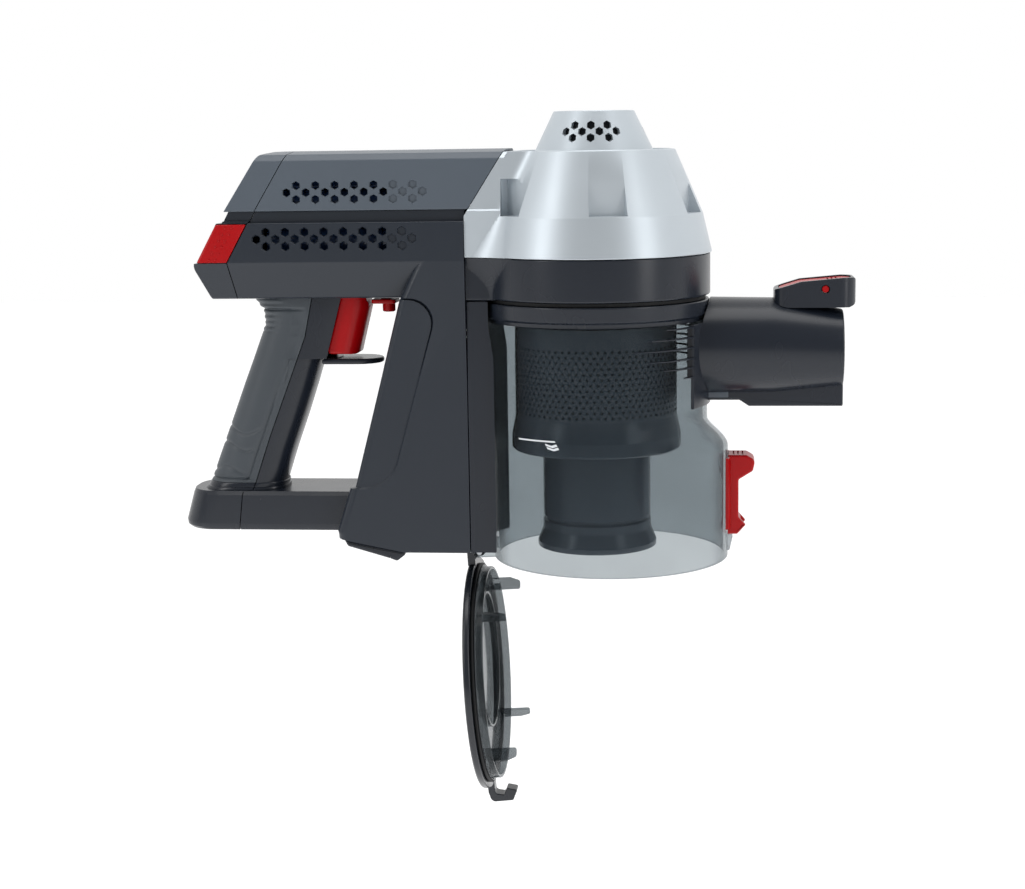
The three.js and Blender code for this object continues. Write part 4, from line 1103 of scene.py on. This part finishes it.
def nozzle():
    """Inlet tube with its lower channel and flange, the ribs that run around the cup, and strips of painted
    shadow beside the flange.
    """
    barrel = tube((228, 36.3, 26.3), (243, 36.3, 26.3), (276, 36.2, 25.8), (MOUTH_X - 1, 34.55, 21.2),
                  (MOUTH_X - 0.3, 34.5, 20.9), (MOUTH_X, 34.5, 20.3))
    channel = prism("y", [(228, 7.9), (258, 7.9, 1), (263, 4.6, 1), (MOUTH_X, 4.6, 0.8), (MOUTH_X, 24),
                          (228, 24)], -10, 10, edge=1.0)
    flange = within(lathe([(0, 6), (61.9, 6, 0.5), (61.9, 50.6, 0.5), (0, 50.6)]),
                    box((226, 250), (-31, 31), (0, 60)))
    body = fuse(barrel, channel, flange)
    body = cut(body, lathe([(0, -10), (CUP_R + 0.25, -10), (CUP_R + 0.25, 50.8), (0, 50.8)]),
               lathe([(0, 50.7), (62, 50.7), (62, 70), (0, 70)]), bore(200, MOUTH_X + 5),
               box((292, MOUTH_X + 5), (-6, 6), (7, 13)))
    finished(body, "nozzle", SHELL, "dust_cup", "inlet_nozzle", smooth=30)
    fins = [rib(z, start, 29, side) for side in (-1, 1) for z, start in RIBS]
    finished(bundle(*fins), "nozzle_ribs", SHELL, "dust_cup")
    # Dark strips in the inner plastic on the cup beside the nozzle's flange: painted shadow of the gap
    # between the flange and its bore.
    painted_shadow_strips = []
    for side in (-1, 1):
        bearings = [math.radians(side * (30.6 + 3.4 * k / 6)) for k in range(7)]
        section = [(CUP_R + 0.05, 23), (CUP_R + 0.5, 23), (CUP_R + 0.5, 49.6), (CUP_R + 0.05, 49.6)]
        painted_shadow_strips.append(skin([[(AXIS_X + r * math.cos(t), r * math.sin(t), z) for r, z in section]
                             for t in bearings]))
    finished(bundle(*painted_shadow_strips), "flange_gap_painted_shadow", INNER, "dust_cup")
    clips = [prism("y", [(241, 9.4, 0.5), (252, 9.4, 0.5), (252, 14, 0.5), (241, 14, 0.5)],
                   *((9.7, 10.25) if side == 1 else (-10.25, -9.7)), edge=0.1) for side in (-1, 1)]
    finished(bundle(*clips), "channel_clips", COVER, "dust_cup")


def button_housing():
    """Housing on the nozzle, and the red rocker in it."""
    front = span("nozzle_button_housing", "x")[1]
    plan = [(276, -13, 6), (front, -13, 9), (front, 13, 9), (276, 13, 6)]
    room = [(278.4, -10.6, 5), (front - 2.4, -10.6, 7), (front - 2.4, 10.6, 7), (278.4, 10.6, 5)]
    side = [(276, 40), (276, 67, 1.5), (290, 71.2, 6), (312, 73.1, 3), (front, 73.1, 2), (front, 59, 2.5),
            (313.2, 56.5), (313.2, 40)]
    housing = within(prism("z", plan, 40, 80, steps=10), prism("y", side, -20, 20))
    clear_barrel = tube((270, 36.2, 26.2), (276, 36.2, 26.2), (MOUTH_X + 0.3, 34.5, 21.4))
    housing = cut(housing, prism("z", room, 64.4, 80), box((270, 330), (-30, 30), (30, 57.5)),
                  clear_barrel, box((MOUTH_X - 1, MOUTH_X + 0.3), (-30, 30), (0, 56)),
                  rod("y", (BUTTON_X, BUTTON_Z), 2.3, -20, 20))
    finished(housing, "button_housing", SHELL, "dust_cup", "nozzle_button_housing")
    inner = [(278.9, -10.1, 5), (front - 2.9, -10.1, 7), (front - 2.9, 10.1, 7), (278.9, 10.1, 5)]
    face = [(278, 67.1), (290, 70.6, 6), (312, 72.4, 2), (318, 72.4), (318, 69.6), (278, 67)]
    rocker = within(prism("z", inner, 60, 80, steps=10), prism("y", face, -20, 20))
    rocker = fuse(rocker, rod("y", (BUTTON_X, BUTTON_Z), 1.9, -12.3, 12.3, edge=0.3),
                  box((299.6, 306), (-8, 8), (66, 71)))
    grips = [box((x, x + 0.9), (-7, 7), (70.4, 75)) for x in (304, 306.2, 308.4)]
    finished(cut(rocker, *grips), "rocker", RED, "nozzle_button", "nozzle_button")


def door_latch():
    side = [(250, -22.3), (262, -22.3, 2), (266.6, -25, 3), (265.4, -31, 2), (257.7, -35.8, 1.5),
            (257.7, -56.3, 1.5), (261.6, -60.7, 0.6), (257, -65.8, 0.6), (250, -65.8)]
    flange = within(rod("z", (CUP_X, 0), CUP_LOW_R + 2, -62, -23, edge=0.6, segments=160),
                    box((230, 270), (-15, 15), (-70, -10)))
    latch = fuse(prism("y", side, -8.6, 8.6, edge=1.2), flange)
    latch = cut(latch, rod("z", (CUP_X, 0), CUP_LOW_R + 0.5, -90, 0, segments=160),
                box((240, 270), (-5.8, 5.8), (-70, -57.6)))
    notches = [box((x, x + 0.8), (-6.6, 6.6), (-23.3, -20)) for x in (254.6, 257, 259.4)]
    latch = cut(latch, *notches)
    finished(latch, "latch", RED, "door_latch", "door_latch")


def bin_door():
    """Drawn closed under the cup, then turned open about its hinge pin."""
    x, z = HINGE_X, HINGE_Z

    def level(radius, height, *rounding):
        return (radius, z + height, *rounding)

    def opened(part):
        return spin(part, DOOR_OPEN, "Y", x, z)

    rim = lathe([level(57.2, -7.3), level(64.5, -7.5, 1.6), level(64.5, -3.7, 0.8), level(59, -3.7),
                 level(59, -1.8, 0.3), level(60, -1.6, 0.3), level(60, -1.2), level(57.2, -1.2)], CUP_X)
    spigot = lathe([level(57.2, -1.5), level(59, -1.5), level(59, 3, 0.5), level(57.2, 3, 0.5)], CUP_X)
    knuckle = rod("y", (x, z), 3, -9.2, 9.2, edge=0.4)
    arm = prism("y", [(x - 2.6, z - 1.2), (x - 0.5, z - 7.5), (x + 8.3, z - 7.5), (x + 8.3, z - 3.3),
                      (x + 5, z - 3.3), (x + 2.4, z - 1.2)], -9.2, 9.2)
    hook = [(x + 134, z - 7.5), (x + 141, z - 7.2, 2), (x + 146.6, z - 5.6, 3), (x + 146, z + 6.6, 1),
            (x + 140, z + 9.4, 1), (x + 138.6, z + 3.4, 1), (x + 142.6, z + 1.6, 1),
            (x + 141.6, z - 3.4, 2), (x + 134, z - 3.4)]
    rim = fuse(rim, knuckle, arm, prism("y", hook, -4.4, 4.4, edge=0.5))
    rim = cut(rim, rod("y", (x, z), 1.8, -20, 20))
    finished(opened(rim), "door_rim", DOOR_DARK, "bin_door", "bin_door")

    pane = lathe([level(0, -6.4), level(57, -6.4), level(57, -3.2), level(59.6, -1.1),
                  level(59.6, -0.5, 0.5), level(56.4, -0.5, 0.3), level(54, -2.2, 0.5),
                  level(0, -2.2)], CUP_X)
    ring = lathe([level(36.4, -2.6), level(38, -2.6), level(38, -0.3, 0.4), level(36.4, -0.3, 0.4)])
    inner_dip = rod("z", (AXIS_X, 0), 36.4, z - 4, z, segments=144)
    paddles = []
    for i in range(4):
        side = [(50.8, z - 2.6), (58.4, z - 2.6), (58.4, z + 9, 1.5), (55.8, z + 15, 2),
                (50.8, z + 15, 1.2)]
        paddle = spin(prism("y", side, -0.9, 0.9, edge=0.3), 45 + 90 * i, "Z")
        paddles.append(shift(paddle, x=PADDLE_X))
    pane = fuse(cut(pane, inner_dip), spigot, ring, *paddles)
    finished(opened(pane), "door_pane", DOOR, "bin_door")
    seal = lathe([level(59.3, -3.5, 0.5), level(61.2, -3.5, 0.7), level(61.2, -1.8, 0.7),
                  level(59.3, -1.8, 0.5)], CUP_X)
    finished(opened(seal), "gasket", SEAL, "bin_door", "door_seal")


# ---- Pieces kept from the CAD model ------------------------------------------------

KEPT = {
    STEEL: ["trigger_pin", "trigger_spring", "bin_release_spring", "battery_terminals", "door_hinge_pin",
            "motor_shaft"],
    INNER: ["motor_mount", "fan_diffuser", "impeller", "contact_block", "trigger_switch", "battery_tray",
            "charge_socket"],
    BOARD: ["battery_board", "control_board"],
    FOAM: ["pre_filter_foam"],
    FILTER: ["hepa_filter", "exhaust_filter"],
    MOTOR: ["motor_can"],
    SEPARATOR: ["vortex_finder"],
    SEAL: ["collar_seal"],
}


def keep_cad_pieces():
    for material, nodes in KEPT.items():
        for node in nodes:
            part = frame["nodes"][node]
            for slot in part.material_slots:
                slot.material = material
            smoothing = part.modifiers.new("smooth by angle", "WEIGHTED_NORMAL")
            smoothing.keep_sharp = True


# ---- Camera, light and floor -------------------------------------------------------


def camera():
    """Level with the cup, a little above it, from the right side of the object."""
    yaw, pitch, roll = math.radians(6.2), math.radians(9.3), math.radians(0.9)
    forward = Vector((-math.sin(yaw) * math.cos(pitch), math.cos(yaw) * math.cos(pitch), -math.sin(pitch)))
    level = Vector((math.cos(yaw), math.sin(yaw), 0))
    above = level.cross(forward)
    right = level * math.cos(roll) - above * math.sin(roll)
    up = level * math.sin(roll) + above * math.cos(roll)
    data = bpy.data.cameras.new("camera")
    data.lens = 66.73
    data.sensor_width = 36
    made = bpy.data.objects.new("camera", data)
    turn = Matrix((right, up, -forward)).transposed().to_4x4()
    made.matrix_world = Matrix.Translation(Vector((245.6, -1025.2, 150.8)) * MM) @ turn
    bpy.context.scene.collection.objects.link(made)
    bpy.context.scene.camera = made


def soft_box(name, place_at, size, power, colour=(1, 1, 1)):
    """A large soft lamp aimed at the middle of the object."""
    data = bpy.data.lights.new(name, "AREA")
    data.shape = "RECTANGLE"
    data.size, data.size_y = size
    data.energy = power
    data.color = colour
    lamp = bpy.data.objects.new(name, data)
    lamp.location = place_at
    aim = Vector((0.17, 0, 0.02)) - Vector(place_at)
    lamp.rotation_euler = aim.to_track_quat("-Z", "Y").to_euler()
    bpy.context.scene.collection.objects.link(lamp)


def studio():
    """White behind the object, dimmer in front of it, with soft boxes left, right and above."""
    world = bpy.data.worlds.new("studio")
    bpy.context.scene.world = world
    world.use_nodes = True
    nodes, links = world.node_tree.nodes, world.node_tree.links
    split = nodes.new("ShaderNodeSeparateXYZ")
    links.new(nodes.new("ShaderNodeTexCoord").outputs["Generated"], split.inputs["Vector"])
    links.new(graded(nodes, links, split.outputs["Y"], 0.3, 1.0, -0.5, -0.05),
              nodes["Background"].inputs["Color"])
    nodes["Background"].inputs["Strength"].default_value = 1.0
    soft_box("left soft box", (-1.0, -0.95, 0.75), (0.35, 1.3), 7)
    soft_box("right soft box", (1.25, -0.75, 0.5), (0.35, 1.2), 4.5)
    soft_box("top soft box", (0.2, -0.1, 1.3), (1.2, 0.8), 6)
    floor_at = -0.46
    floor = as_object("floor", [(-6000, -6000, floor_at / MM), (6000, -6000, floor_at / MM),
                                (6000, 6000, floor_at / MM), (-6000, 6000, floor_at / MM)], [(0, 1, 2, 3)])
    white, _, _, shader, _ = node_set("floor_white")
    shader.inputs["Base Color"].default_value = (0.95, 0.95, 0.95, 1)
    shader.inputs["Roughness"].default_value = 0.9
    shader.inputs["Emission Color"].default_value = (1, 1, 1, 1)
    shader.inputs["Emission Strength"].default_value = 0.3
    floor.data.materials.append(white)
    bpy.context.scene.view_settings.view_transform = "Standard"


# ---- The scene ---------------------------------------------------------------------

camera()
studio()
body_shells()
screws()
top_cover()
dock_frame()
pillar_foot()
motor_housing()
dome()
exhaust_cap()
battery_cap()
battery_buttons()
cells()
handle()
finger_guard()
trigger()
bin_release()
cup()
fill_line()
separator()
nozzle()
button_housing()
door_latch()
bin_door()
keep_cad_pieces()
